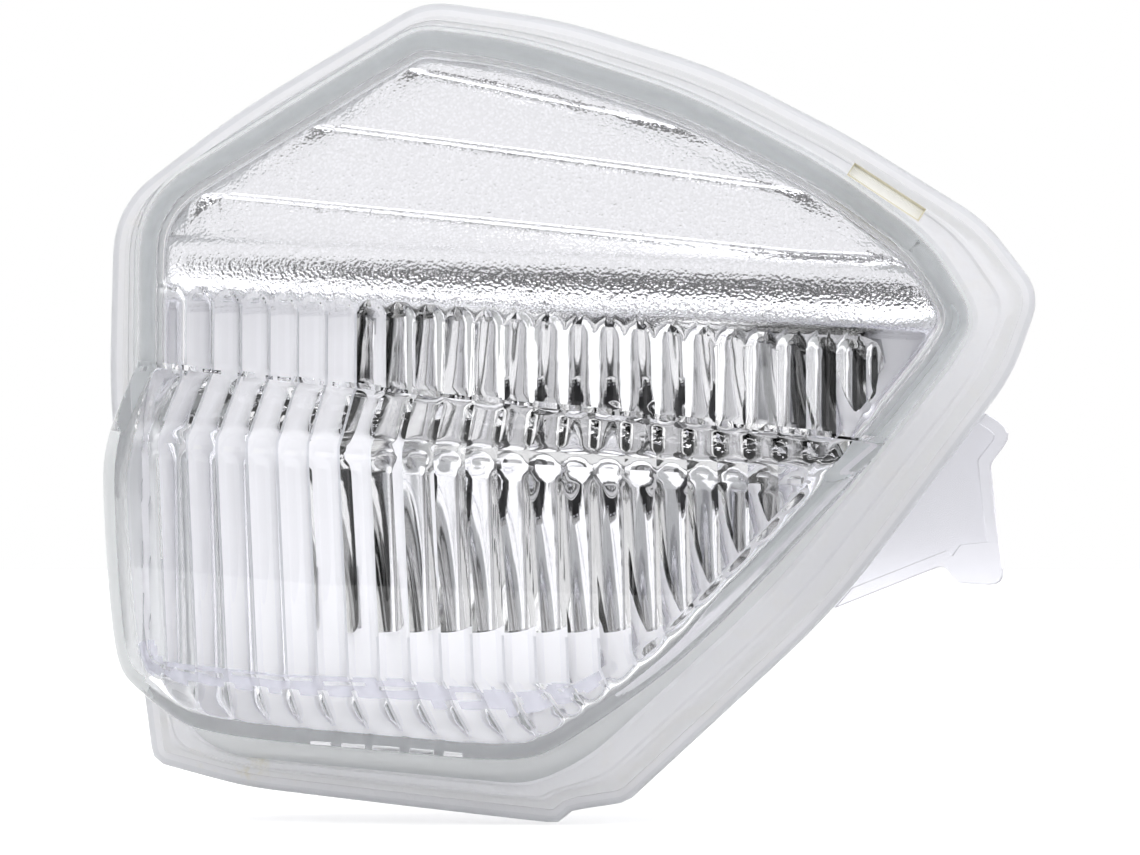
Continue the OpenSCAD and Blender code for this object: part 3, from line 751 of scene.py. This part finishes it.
    def face(self, g: float, columns: np.ndarray, rows: int) -> tuple[bmesh.types.BMesh, list[bmesh.types.BMEdge]]:
        """One side of the lens's face, outside or inside, with its wall down to the flange.

        Args:
            g: 0 for the outside, the wall for the inside.
            columns: Places of the grid's columns.
            rows: Rows of the grid.

        Returns:
            The mesh and the loop at its foot.
        """
        edge, crease = self.face_line(g), self.face_line(g, crease=True)
        bm = warped_grid(columns, rows, self.rows, self.slip if g else None)
        trim(bm, crease.upper, lambda x, z: z > self.step_top(x))
        trim(bm, crease.lower, lambda x, z: z <= self.step_top(x))
        bmesh.ops.remove_doubles(bm, verts=list({v for e in rim_edges(bm) for v in e.verts}), dist=0.02)
        starts, goals = (bm.verts.layers.float_vector.new(k) for k in ("start", "goal"))
        phases = bm.verts.layers.float.new("phase")

        def placed(x: np.ndarray, z: np.ndarray, phase: np.ndarray) -> np.ndarray:
            """The face's points at places across and up."""
            h = self.levels(x, z, edge.upper, edge.lower, g)
            if g:
                h = h - self.flutes(x, z, phase, edge.lower)[0]
            return np.stack([x, BARREL.depth(x, z, h), z], axis=1)

        co = np.array([v.co[:] for v in bm.verts])
        phase = self.phase(co[:, 0], co[:, 2])
        for v, p, n in zip(bm.verts, placed(co[:, 0], co[:, 2], phase), phase):
            v.co, v[phases] = p, n
        loop = rim_edges(bm)
        verts = list({v for e in loop for v in e.verts})
        co = np.array([v.co[:] for v in verts])
        x, z = co[:, 0], co[:, 2]
        to = Match(crease.loop, edge.loop, crease.keys, edge.keys).across(x, z)
        low = np.clip((-18 - z) / 4, 0, 1) * np.clip((2 - x) / 4, 0, 1)
        lean = 0.57 * low * np.hypot(to[:, 0] - x, to[:, 1] - z)
        to = edge.loop.at(edge.loop.nearest(to[:, 0] + lean, to[:, 1] - 0.1 * lean)[0])
        for v, p, q in zip(verts, co, to):
            v[starts], v[goals] = (p[0], 0, p[2]), (q[0], 0, q[1])

        def turned(share: float) -> Callable[[list[bmesh.types.BMVert]], np.ndarray]:
            """The ring at a share of the way from the crease to the edge."""
            def place(verts: list[bmesh.types.BMVert]) -> np.ndarray:
                """The ring's points."""
                p = np.array([(v[starts] * (1 - share) + v[goals] * share)[:] for v in verts])
                return placed(p[:, 0], p[:, 2], np.array([v[phases] for v in verts]))
            return place

        for share in (0.05, 0.1, 0.15, 0.2, 0.3, 0.42, 0.55, 0.68, 0.8, 0.89, 0.95, 0.985, 1.0):
            loop = next_ring(bm, loop, turned(share))
        self.paint(bm, phases, edge, crease, g)
        for layer in (starts, goals):
            bm.verts.layers.float_vector.remove(layer)
        bm.verts.layers.float.remove(bm.verts.layers.float["phase"])
        foot = Outline.of(self.wall_corners, g)
        level = -self.flange_t if g else 0.0

        def down(verts: list[bmesh.types.BMVert]) -> np.ndarray:
            """The foot of the wall."""
            co = np.array([v.co[:] for v in verts])
            p = foot.at(foot.nearest(co[:, 0], co[:, 2])[0])
            return np.stack([p[:, 0], BARREL.depth(p[:, 0], p[:, 1], level), p[:, 1]], axis=1)

        return bm, next_ring(bm, loop, down, slot=0 if g else 3)

    def paint(self, bm: bmesh.types.BMesh, phases: bmesh.types.BMLayerItem, edge: FaceLine, crease: FaceLine,
              g: float) -> None:
        """Gives the face's grooves, its lower crease and its left side their slots, with painted shade on grooves and
        crease.

        Args:
            bm: The face.
            phases: The layer of flutes counted across.
            edge: The face's edge.
            crease: The crease inside it.
            g: 0 for the outside, the wall for the inside.
        """
        faces = list(bm.faces)
        mid = np.array([f.calc_center_median()[:] for f in faces])
        x, z = mid[:, 0], mid[:, 2]
        if g:
            phase = np.array([sum(v[phases] for v in f.verts) / len(f.verts) for f in faces])
            fluted = self.flutes(x, z, phase, edge.lower)[1] > 0.4
            # The darker groove colour on one side of each flute's edge is painted shade that draws a line between the
            # flutes.
            groove = np.mod(phase - 0.5, 1) > 1 - 1 / self.flute_cuts
            plain = (x > -43.5) & ((x < -23.3) | (z < -18.3))
            slots = np.where(groove & fluted & plain, 4, 0)
            # The darker crease colour just outside the crease line at the lower left is painted shade along the crease.
            line = np.where(crease.loop.inside(x, z) < 0, crease.loop.nearest(x, z)[1], 99)
            t = 2 * (phase - np.rint(phase))
            slots = np.where((line < 0.95 - 0.5 * t ** 2) & (line > 0.1) & (z < -19) & (x < 0), 5, slots)
        else:
            side = (edge.loop.nearest(x, z)[1] < 1.4) & (x < -45) & (z < 2) & (z > -24)
            slots = np.where(side, 3, 0)
        for f, slot in zip(faces, slots):
            f.material_index = int(slot)

    def flange(self, bm: bmesh.types.BMesh, loop: list[bmesh.types.BMEdge]) -> list[bmesh.types.BMEdge]:
        """Draws the flange out from the foot of the outer wall and round to its back.

        Args:
            bm: The lens's mesh.
            loop: The loop at the foot of the outer wall.

        Returns:
            The loop on the flange's back.
        """
        foot = Outline.of(self.wall_corners)
        edge = Outline.of(self.flange_corners)
        match = Match(foot, edge, self.wall_keys, self.flange_keys)
        rim = Outline.of(self.flange_corners, self.rim_w)
        starts, rims, goals = (bm.verts.layers.float_vector.new(k) for k in ("start", "rim", "goal"))
        verts = list({v for e in loop for v in e.verts})
        co = np.array([v.co[:] for v in verts])
        goal = match.across(co[:, 0], co[:, 2])
        inner = rim.at(rim.nearest(goal[:, 0], goal[:, 1])[0])
        for v, p, i, g in zip(verts, co, inner, goal):
            v[starts], v[rims], v[goals] = (p[0], 0, p[2]), (i[0], 0, i[1]), (g[0], 0, g[1])

        def shared(share: float, h: float) -> Callable[[list[bmesh.types.BMVert]], np.ndarray]:
            """The ring at a share of the way from the wall to the rim."""
            def place(verts: list[bmesh.types.BMVert]) -> np.ndarray:
                """The ring's points."""
                p = np.array([(v[starts] * (1 - share) + v[rims] * share)[:] for v in verts])
                return np.stack([p[:, 0], BARREL.depth(p[:, 0], p[:, 2], h), p[:, 2]], axis=1)
            return place

        def outer(inset: float, h: float) -> Callable[[list[bmesh.types.BMVert]], np.ndarray]:
            """The ring at a distance inside the flange's edge."""
            line = Outline.of(self.flange_corners, inset)
            def place(verts: list[bmesh.types.BMVert]) -> np.ndarray:
                """The ring's points."""
                p = np.array([v[goals][:] for v in verts])[:, (0, 2)]
                p = line.at(line.nearest(p[:, 0], p[:, 1])[0])
                return np.stack([p[:, 0], BARREL.depth(p[:, 0], p[:, 1], h), p[:, 1]], axis=1)
            return place

        for share, h in ((0.1, 0.14), (0.2, 0.0), (0.5, 0.0), (0.56, 0.16), (0.64, 0.16), (0.7, 0.0), (0.985, 0.0), (1.0, -0.2)):
            loop = next_ring(bm, loop, shared(share, h), slot=2)
        low = -self.rim_step
        for inset, h in ((self.rim_w - 0.05, low + 0.1), (self.rim_w - 0.25, low), (0.7, low - 0.04), (0.3, low - 0.2),
                         (0.08, low - 0.5), (0.0, low - 0.9), (0.0, -self.flange_t + 0.35), (0.1, -self.flange_t + 0.1),
                         (0.35, -self.flange_t)):
            loop = next_ring(bm, loop, outer(inset, h), slot=8 if inset < 0.5 else 2)
        loop = next_ring(bm, loop, shared(0.0, -self.flange_t), slot=2)
        for layer in (starts, rims, goals):
            bm.verts.layers.float_vector.remove(layer)
        return loop

    def slot_recess(self, bm: bmesh.types.BMesh) -> None:
        """Sinks the narrow slot at the upper right of the flange."""
        centre, turn, half = np.array([28.8, 25.9]), math.radians(33), (4.3, 0.75)
        u = np.array([math.cos(turn), -math.sin(turn)])
        w = np.array([math.sin(turn), math.cos(turn)])
        near = [f for f in bm.faces if f.material_index == 2 and f.normal.y < -0.3
                and np.linalg.norm(np.array([f.calc_center_median()[0], f.calc_center_median()[2]]) - centre) < 6.5]
        for axis, reach in ((u, half[0]), (w, half[1])):
            for s in (-1, 1):
                at = centre + axis * reach * s
                geom = list({v for f in near for v in f.verts}) + list({e for f in near for e in f.edges}) + near
                made = bmesh.ops.bisect_plane(bm, geom=geom, dist=1e-4, plane_co=(at[0], 0, at[1]),
                                              plane_no=(axis[0], 0, axis[1]))
                near = [g for g in made["geom"] if isinstance(g, bmesh.types.BMFace)]
        sunk = []
        for f in near:
            c = f.calc_center_median()
            p = np.array([c[0], c[2]]) - centre
            if abs(p @ u) < half[0] and abs(p @ w) < half[1]:
                sunk.append(f)
        made = bmesh.ops.extrude_face_region(bm, geom=sunk)["geom"]
        bmesh.ops.delete(bm, geom=sunk, context="FACES")
        floor = {g for g in made if isinstance(g, bmesh.types.BMFace)}
        for v in (g for g in made if isinstance(g, bmesh.types.BMVert)):
            p = np.array([v.co.x, v.co.z]) - centre
            p = centre + u * (p @ u) * 0.965 + w * (p @ w) * 0.74
            v.co = (p[0], v.co.y + 0.8, p[1])
            for f in v.link_faces:
                f.material_index = 7 if f in floor else 6

    def build(self, materials: Sequence[bpy.types.Material]) -> bpy.types.Object:
        """Builds the lens as one closed solid.

        Args:
            materials: The clear face, the wall's foot, the flange, the side wall, the grooves' painted shade,
            the crease's painted shade and the recess's wall.

        Returns:
            The piece.
        """
        fine = 1
        outer, foot = self.face(0.0, np.linspace(-51, 40, 150 // fine + 1), 100 // fine)
        back = self.flange(outer, foot)
        self.slot_recess(outer)
        cuts = np.arange(-21.5, 10.75, fine / self.flute_cuts) * self.flute_pitch
        columns = BARREL.bend_x + BARREL.bend_r * np.sin(cuts / BARREL.bend_r)
        inner, _ = self.face(self.wall, columns, 150 if fine == 1 else 100)
        inner_mesh = bpy.data.meshes.new("inner face")
        inner.to_mesh(inner_mesh)
        inner.free()
        outer.from_mesh(inner_mesh)
        bpy.data.meshes.remove(inner_mesh)
        bmesh.ops.remove_doubles(outer, verts=list({v for e in rim_edges(outer) for v in e.verts}), dist=0.01)
        for f in bmesh.ops.bridge_loops(outer, edges=rim_edges(outer))["faces"]:
            f.material_index = 1
        return finished(outer, "outer_lens_moulded", materials, ["outer_lens"], sharp=28)


def soft_min(a: np.ndarray, b: np.ndarray, k: float) -> np.ndarray:
    """The lower of two heights, rounded over k where they cross."""
    h = np.clip(0.5 + 0.5 * (b - a) / k, 0, 1)
    return b * (1 - h) + a * h - k * h * (1 - h)


# ---- the reflector ----

@dataclass
class Reflector:
    """The metallised reflector: terraces, a roll, a plain panel and the bowl."""

    thick: float = 1.6
    terrace_depth: float = 0.4
    terrace_step: float = 1.2
    roll_r: float = 4.2
    roll_lean: float = 0.09
    panel_depth: float = 7.0
    bowl_left: float = 23.3
    bowl_right: float = 28.5
    bowl_drop: float = 0.4
    bowl_bottom: float = 18.3
    focus: float = 12.3
    vertex: float = 24.0
    bulb_hole: float = 6.5

    def roll_z(self, x: np.ndarray) -> np.ndarray:
        """Height of the roll's middle."""
        return 17.15 - 0.041 * x

    def crease(self, i: int, x: np.ndarray) -> np.ndarray:
        """Height of one terrace's lower edge."""
        line = (34.1 - 0.221 * x, 28.7 - 0.138 * x, 21.65 - 0.1047 * x)[i]
        return np.maximum(line, self.roll_z(x) + self.roll_r * 0.65 + 0.5)

    def profile(self, x: np.ndarray) -> tuple[np.ndarray, np.ndarray]:
        """The reflector's section at each place across, from the top down.

        Args:
            x: Places across the lamp.

        Returns:
            Heights and levels, one row per point of the section.
        """
        low, axis = -self.terrace_depth - self.terrace_step, -self.terrace_depth - self.roll_r
        ones, zr = np.ones_like(x), self.roll_z(x)
        z, h = [self.crease(0, x) + 14], [ones * (low + 0.3)]
        for i in range(3):
            c = self.crease(i, x)
            top, level, cuts = z[-1], h[-1], (12, 6, 6)[i]
            for k in range(1, cuts + 1):
                z.append(top + (c + 0.42 - top) * k / cuts)
                h.append(level + (-self.terrace_depth - 0.02 - level) * k / cuts)
            for dz, level in ((0.24, -self.terrace_depth - 0.12), (0.02, low + 0.15), (-0.2, low)):
                z.append(c + dz)
                h.append(ones * level)
        for a in np.radians(np.linspace(42, -90, 23)):
            flat = 0.5 + 0.5 * max(0.0, a / math.radians(42))
            z.append(zr + self.roll_r * np.sin(a))
            h.append(ones * (axis + self.roll_r * (max(0.0, np.cos(a)) ** flat + self.roll_lean * np.sin(a))))
        for dz, level in ((-0.12, -0.6), (-0.3, -1.6), (-0.6, -2.3), (-1.0, -2.4)):
            z.append(zr - self.roll_r + dz)
            h.append(ones * (axis + level))
        for k in np.linspace(0.05, 1, 46):
            z.append((zr - self.roll_r - 1.0) * (1 - k) - 36 * k)
            h.append(ones * -self.panel_depth)
        return np.array(z), np.array(h)

    def build(self, materials: Sequence[bpy.types.Material]) -> bpy.types.Object:
        """Builds the reflector as a closed sheet.

        Args:
            materials: The grained coat, the plain coat, the bowl's bright coat and the moulding's back.

        Returns:
            The piece.
        """
        lens = OuterLens()
        edge = Outline.of(lens.wall_corners, lens.wall + 0.6)
        columns = np.linspace(-48, 38, 173)
        z_all, h_all = self.profile(columns)
        n = len(z_all) - 1

        def heights(x: np.ndarray, t: np.ndarray) -> np.ndarray:
            """Row heights from the section, the lowest row first."""
            j = n - np.rint(t * n).astype(int)
            i = np.searchsorted(columns, x)
            return z_all[j, np.clip(i, 0, len(columns) - 1)]

        bm = warped_grid(columns, n, heights)
        trim(bm, edge)
        top = self.roll_z(-self.bowl_left) - self.roll_r - self.bowl_drop
        right_top = self.roll_z(self.bowl_right) - self.roll_r - self.bowl_drop
        mouth_box = [(-self.bowl_left, top, 1.5), (self.bowl_right, right_top, 3),
                     (self.bowl_right, -self.bowl_bottom, 1), (-self.bowl_left, -self.bowl_bottom, 2)]
        mouth = Outline.of(mouth_box)
        slant = Outline.of(lens.wall_corners, lens.wall + 3.0)
        trim(bm, mouth, keep=True)
        trim(bm, slant, keep=True)
        co = np.array([v.co[:] for v in bm.verts])
        y = BARREL.depth(co[:, 0], co[:, 2], self.levels(co[:, 0], co[:, 2]))
        for v, vy in zip(bm.verts, y):
            v.co.y = vy
        mid = np.array([f.calc_center_median()[:] for f in bm.faces])
        inside = np.minimum(mouth.inside(mid[:, 0], mid[:, 2]), slant.inside(mid[:, 0], mid[:, 2])) > 0
        roll_line = self.roll_z(mid[:, 0]) - self.roll_r - 0.5
        for f, deep, m, line in zip(bm.faces, inside, mid, roll_line):
            f.material_index = 2 if deep else (0 if m[2] > line else 1)
        bowl = [f for f, deep in zip(list(bm.faces), inside) if deep]
        bmesh.ops.split(bm, geom=bowl)
        bowl = [f for f in bm.faces if f.material_index == 2]
        verts = list({v for f in bowl for v in f.verts})
        rims = [e for f in bowl for e in f.edges if len(e.link_faces) == 1]
        front = {v: v.co.copy() for v in verts}
        made = bmesh.ops.extrude_edge_only(bm, edges=list(set(rims)))["geom"]
        for v in verts:
            v.co.y = self.vertex - (v.co.x ** 2 + v.co.z ** 2) / 4 / self.focus
        for g in made:
            if isinstance(g, bmesh.types.BMEdge):
                for f in g.link_faces:
                    if f not in bowl:
                        f.material_index = 2
        bmesh.ops.remove_doubles(bm, verts=bm.verts, dist=2e-4)
        hole = [f for f in bm.faces if f.material_index == 2
                and math.hypot(f.calc_center_median().x, f.calc_center_median().z) < self.bulb_hole]
        bmesh.ops.delete(bm, geom=hole, context="FACES")
        bmesh.ops.recalc_face_normals(bm, faces=bm.faces)
        piece = finished(bm, "reflector_coated", materials, ["reflector"], sharp=38)
        wall = piece.modifiers.new("sheet", "SOLIDIFY")
        wall.thickness, wall.offset, wall.material_offset = self.thick * 0.7 * MM, -1, 3
        wall.use_rim = True
        return piece

    def levels(self, x: np.ndarray, z: np.ndarray) -> np.ndarray:
        """Level of the sheet's front at each point, from the section."""
        zs, hs = self.profile(x)
        out = np.empty_like(x)
        for k in range(len(x)):
            out[k] = np.interp(z[k], zs[::-1, k], hs[::-1, k])
        lens = OuterLens()
        inside = Outline.of(lens.wall_corners, lens.wall + 0.6).inside(x, z)
        flat = np.clip(1.3 - inside / 1.8, 0, 1) * (z > self.roll_z(x) + 3.2)
        return out * (1 - flat) + (-self.terrace_depth - 0.5) * flat


# ---- studio ----

@dataclass
class Studio:
    """The floor, the light and the camera."""

    camera_x: float = -3.0
    camera_z: float = 2.25
    distance: float = 700.0
    frame_width: float = 114.0
    floor_z: float = -37.8
    world_level: float = 0.75
    inner_level: float = 1.9
    dark_level: float = 0.1

    def camera(self) -> None:
        """Sets the camera at the photograph's place."""
        data = bpy.data.cameras.new("camera")
        data.lens = data.sensor_width * self.distance / self.frame_width
        data.clip_start = 0.01
        made = bpy.data.objects.new("camera", data)
        made.location = (self.camera_x * MM, -self.distance * MM, self.camera_z * MM)
        made.rotation_euler = (math.pi / 2, 0, 0)
        bpy.context.scene.collection.objects.link(made)
        bpy.context.scene.camera = made

    def world(self) -> None:
        """White all round, with the studio's dark end behind the camera."""
        world = bpy.data.worlds.new("studio")
        bpy.context.scene.world = world
        world.use_nodes = True
        tree = world.node_tree
        link = tree.links.new
        back = tree.nodes["Background"]
        coords = node(tree, "ShaderNodeTexCoord")
        parts = node(tree, "ShaderNodeSeparateXYZ")
        link(coords.outputs["Generated"], parts.inputs[0])

        def band(value: bpy.types.NodeSocket, points: Sequence[tuple[float, float]]) -> bpy.types.NodeSocket:
            """A soft band of 1 between the middle points, over one direction."""
            ramp = node(tree, "ShaderNodeValToRGB")
            shift = node(tree, "ShaderNodeMapRange")
            shift.inputs["From Min"].default_value, shift.inputs["From Max"].default_value = -1, 1
            link(value, shift.inputs["Value"])
            link(shift.outputs["Result"], ramp.inputs["Fac"])
            stops = ramp.color_ramp.elements
            while len(stops) < len(points):
                stops.new(0.5)
            for stop, (at, level) in zip(stops, points):
                stop.position = (at + 1) / 2
                stop.color = (level, level, level, 1)
            ramp.color_ramp.interpolation = "EASE"
            return ramp.outputs["Color"]

        across = band(parts.outputs["X"], ((-0.66, 0), (-0.6, 1), (0.6, 1), (0.66, 0)))
        up = band(parts.outputs["Z"], ((-0.36, 0), (-0.3, 1), (0.18, 1), (0.24, 0)))
        front = band(parts.outputs["Y"], ((-0.5, 1), (-0.1, 0)))
        path = node(tree, "ShaderNodeLightPath")
        plain = node(tree, "ShaderNodeMath", operation="LESS_THAN")
        plain.inputs[1].default_value = 0.5
        link(path.outputs["Diffuse Depth"], plain.inputs[0])
        dark = None
        for factor in (across, up, front):
            if dark is None:
                dark = factor
                continue
            times = node(tree, "ShaderNodeMath", operation="MULTIPLY")
            link(dark, times.inputs[0])
            link(factor, times.inputs[1])
            dark = times.outputs[0]
        shade = node(tree, "ShaderNodeMapRange")
        shade.inputs["To Max"].default_value = self.dark_level
        link(dark, shade.inputs["Value"])
        shade.inputs["To Min"].default_value = 1.0
        inner = node(tree, "ShaderNodeMix", data_type="FLOAT")
        link(plain.outputs[0], inner.inputs["Factor"])
        inner.inputs["A"].default_value = self.inner_level
        link(shade.outputs["Result"], inner.inputs["B"])
        seen = node(tree, "ShaderNodeMath", operation="MAXIMUM")
        link(path.outputs["Is Glossy Ray"], seen.inputs[0])
        link(path.outputs["Is Transmission Ray"], seen.inputs[1])
        sharp = node(tree, "ShaderNodeMix", data_type="FLOAT")
        link(seen.outputs[0], sharp.inputs["Factor"])
        sharp.inputs["A"].default_value = self.world_level
        link(inner.outputs["Result"], sharp.inputs["B"])
        last = node(tree, "ShaderNodeMix", data_type="FLOAT")
        link(path.outputs["Is Camera Ray"], last.inputs["Factor"])
        link(sharp.outputs["Result"], last.inputs["A"])
        last.inputs["B"].default_value = 1.0
        link(last.outputs["Result"], back.inputs["Strength"])
        back.inputs["Color"].default_value = (1, 1, 1, 1)

    def floor(self) -> None:
        """A plain pale floor that ends a little in front of the lamp."""
        bm = bmesh.new()
        bmesh.ops.create_grid(bm, x_segments=1, y_segments=1, size=0.5)
        size = max(v.co.x for v in bm.verts)
        for v in bm.verts:
            v.co = (v.co.x / size * 900, 560 + v.co.y / size * 700, self.floor_z)
        mesh = bpy.data.meshes.new("floor")
        bmesh.ops.scale(bm, vec=(MM, MM, MM), verts=bm.verts)
        bm.to_mesh(mesh)
        bm.free()
        made = bpy.data.objects.new("floor", mesh)
        bpy.context.scene.collection.objects.link(made)
        material = bpy.data.materials.new("floor")
        material.use_nodes = True
        tree = material.node_tree
        shader = tree.nodes["Principled BSDF"]
        shader.inputs["Base Color"].default_value = (0.7, 0.7, 0.7, 1)
        shader.inputs["Roughness"].default_value = 0.9
        path = node(tree, "ShaderNodeLightPath")
        first = node(tree, "ShaderNodeMath", operation="ADD")
        second = node(tree, "ShaderNodeMath", operation="ADD")
        level = node(tree, "ShaderNodeMath", operation="MULTIPLY")
        tree.links.new(path.outputs["Is Camera Ray"], first.inputs[0])
        tree.links.new(path.outputs["Is Glossy Ray"], first.inputs[1])
        tree.links.new(first.outputs[0], second.inputs[0])
        tree.links.new(path.outputs["Is Transmission Ray"], second.inputs[1])
        tree.links.new(second.outputs[0], level.inputs[0])
        level.inputs[1].default_value = 0.6
        shader.inputs["Emission Color"].default_value = (1, 1, 1, 1)
        tree.links.new(level.outputs[0], shader.inputs["Emission Strength"])
        mesh.materials.append(material)

    def lamps(self) -> None:
        """Two large soft lamps, above and to the left."""
        for name, place, size, power in (("key", (-0.35, -0.25, 0.75), 1.2, 4.6), ("fill", (0.6, -0.3, 0.5), 0.9, 2.3)):
            data = bpy.data.lights.new(name, "AREA")
            data.shape, data.size, data.energy = "SQUARE", size, power
            made = bpy.data.objects.new(name, data)
            made.location = place
            made.rotation_euler = (-Vector(place)).to_track_quat("-Z", "Y").to_euler()
            made.visible_glossy = made.visible_transmission = False
            bpy.context.scene.collection.objects.link(made)

    def build(self) -> None:
        """Builds the whole studio."""
        bpy.context.scene.view_settings.view_transform = "Standard"
        self.camera()
        self.world()
        self.floor()
        self.lamps()


# ---- the whole lamp ----

CLEAR = Finish("clear face", (0.985, 0.985, 1.0), 0.0, transmission=1.0, ior=1.49, wave=0.03, wave_scale=90)
BAND = Finish("wall's foot", (0.80, 0.83, 0.84), 0.4, wave=0.05, wave_scale=90)
SIDE = Finish("side wall", (0.80, 0.82, 0.83), 0.3, transmission=0.3, ior=1.49, wave=0.05, wave_scale=90)
# The grooves' darker lilac is painted shade: lines between the flutes.
GROOVE_SHADE = Finish("painted groove shade", (0.74, 0.75, 0.80), 0.35, transmission=0.4, ior=1.49, wave=0.02, wave_scale=90)
# The crease's darker lilac is painted shade along it.
CREASE_SHADE = Finish("lower crease shade", (0.70, 0.70, 0.80), 0.2, transmission=0.6, ior=1.49, wave=0.02, wave_scale=90)
RECESS = Finish("recess wall", (0.74, 0.70, 0.56), 0.4, wave=0.02, wave_scale=90)
FLOOR = Finish("recess floor", (0.97, 0.97, 0.96), 0.4, wave=0.02, wave_scale=90)
RIM = Finish("flange rim", (0.84, 0.85, 0.87), 0.28, transmission=0.55, ior=1.49, wave=0.05, wave_scale=90)
FROSTED = Finish("frosted flange", (0.94, 0.94, 0.96), 0.4, transmission=0.45, ior=1.49, grain_scale=1800,
                 grain_depth=0.02, wave=0.1, wave_scale=70, smear=(0.80, 0.73, 0.52), smear_share=0.1, spread=0.2,
                 smear_at=(-36.5, 11.0, -31.5))
# The grained coat's darker grain is painted shade.
GRAINED = Finish("grained coat", (0.98, 0.98, 0.99), 0.12, metallic=1.0, grain_scale=3000, grain_depth=0.055,
                 grain_shade=0.1)
PLAIN = Finish("plain coat", (0.98, 0.98, 1.0), 0.5, metallic=0.05, wave=0.03, wave_scale=120)
BRIGHT = Finish("bright coat", (0.80, 0.80, 0.79), 0.05, metallic=1.0, wave=0.02, wave_scale=90)
BACK = Finish("coat's back", (0.75, 0.75, 0.77), 0.4, metallic=0.4, wave=0.05, wave_scale=120)
HOUSING = Finish("clear housing", (0.82, 0.82, 0.87), 0.1, transmission=0.82, ior=1.49, wave=0.06, wave_scale=80)
SEAL = Finish("sealant", (0.80, 0.80, 0.72), 0.6, wave=0.1, wave_scale=300)
BULB = Finish("coated bulb", (0.80, 0.80, 0.82), 0.08, metallic=1.0, wave=0.01, wave_scale=100)
WIRE = Finish("wire", (0.72, 0.72, 0.74), 0.3, metallic=1.0, wave=0.01, wave_scale=900)
HOLDER = Finish("black holder", (0.03, 0.03, 0.033), 0.45, grain_scale=2200, grain_depth=0.03)
CONTACT = Finish("stamped brass", (0.78, 0.6, 0.3), 0.28, metallic=1.0, wave=0.02, wave_scale=600)
RUBBER = Finish("black rubber", (0.025, 0.025, 0.027), 0.6, grain_scale=1800, grain_depth=0.03)
MEMBRANE = Finish("white membrane", (0.9, 0.9, 0.88), 0.8, grain_scale=5000, grain_depth=0.03)


def dress(name: str, finish: Finish) -> None:
    """Gives a CAD node its finish.

    Args:
        name: The node.
        finish: Its finish.
    """
    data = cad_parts[name].data
    data.materials.clear()
    data.materials.append(finish.material())
    log.info("%s: %s", name, finish.name)


def main() -> None:
    """Builds the lamp's pieces in order and sets up the studio."""
    logging.basicConfig(level=logging.INFO, format="%(message)s")
    Studio().build()
    OuterLens().build([f.material() for f in (CLEAR, BAND, FROSTED, SIDE, GROOVE_SHADE, CREASE_SHADE, RECESS, FLOOR, RIM)])
    Reflector().build([GRAINED.material(), PLAIN.material(), BRIGHT.material(), BACK.material()])
    for name, finish in (("perimeter_seal", SEAL), ("housing", HOUSING), ("bulb", BULB), ("bulb_lead_left", WIRE),
                         ("bulb_lead_right", WIRE), ("bulb_holder", HOLDER), ("contact_left", CONTACT),
                         ("contact_right", CONTACT), ("holder_gasket", RUBBER), ("vent_cap", RUBBER),
                         ("vent_membrane", MEMBRANE)):
        dress(name, finish)


if __name__ == "__main__":
    main()
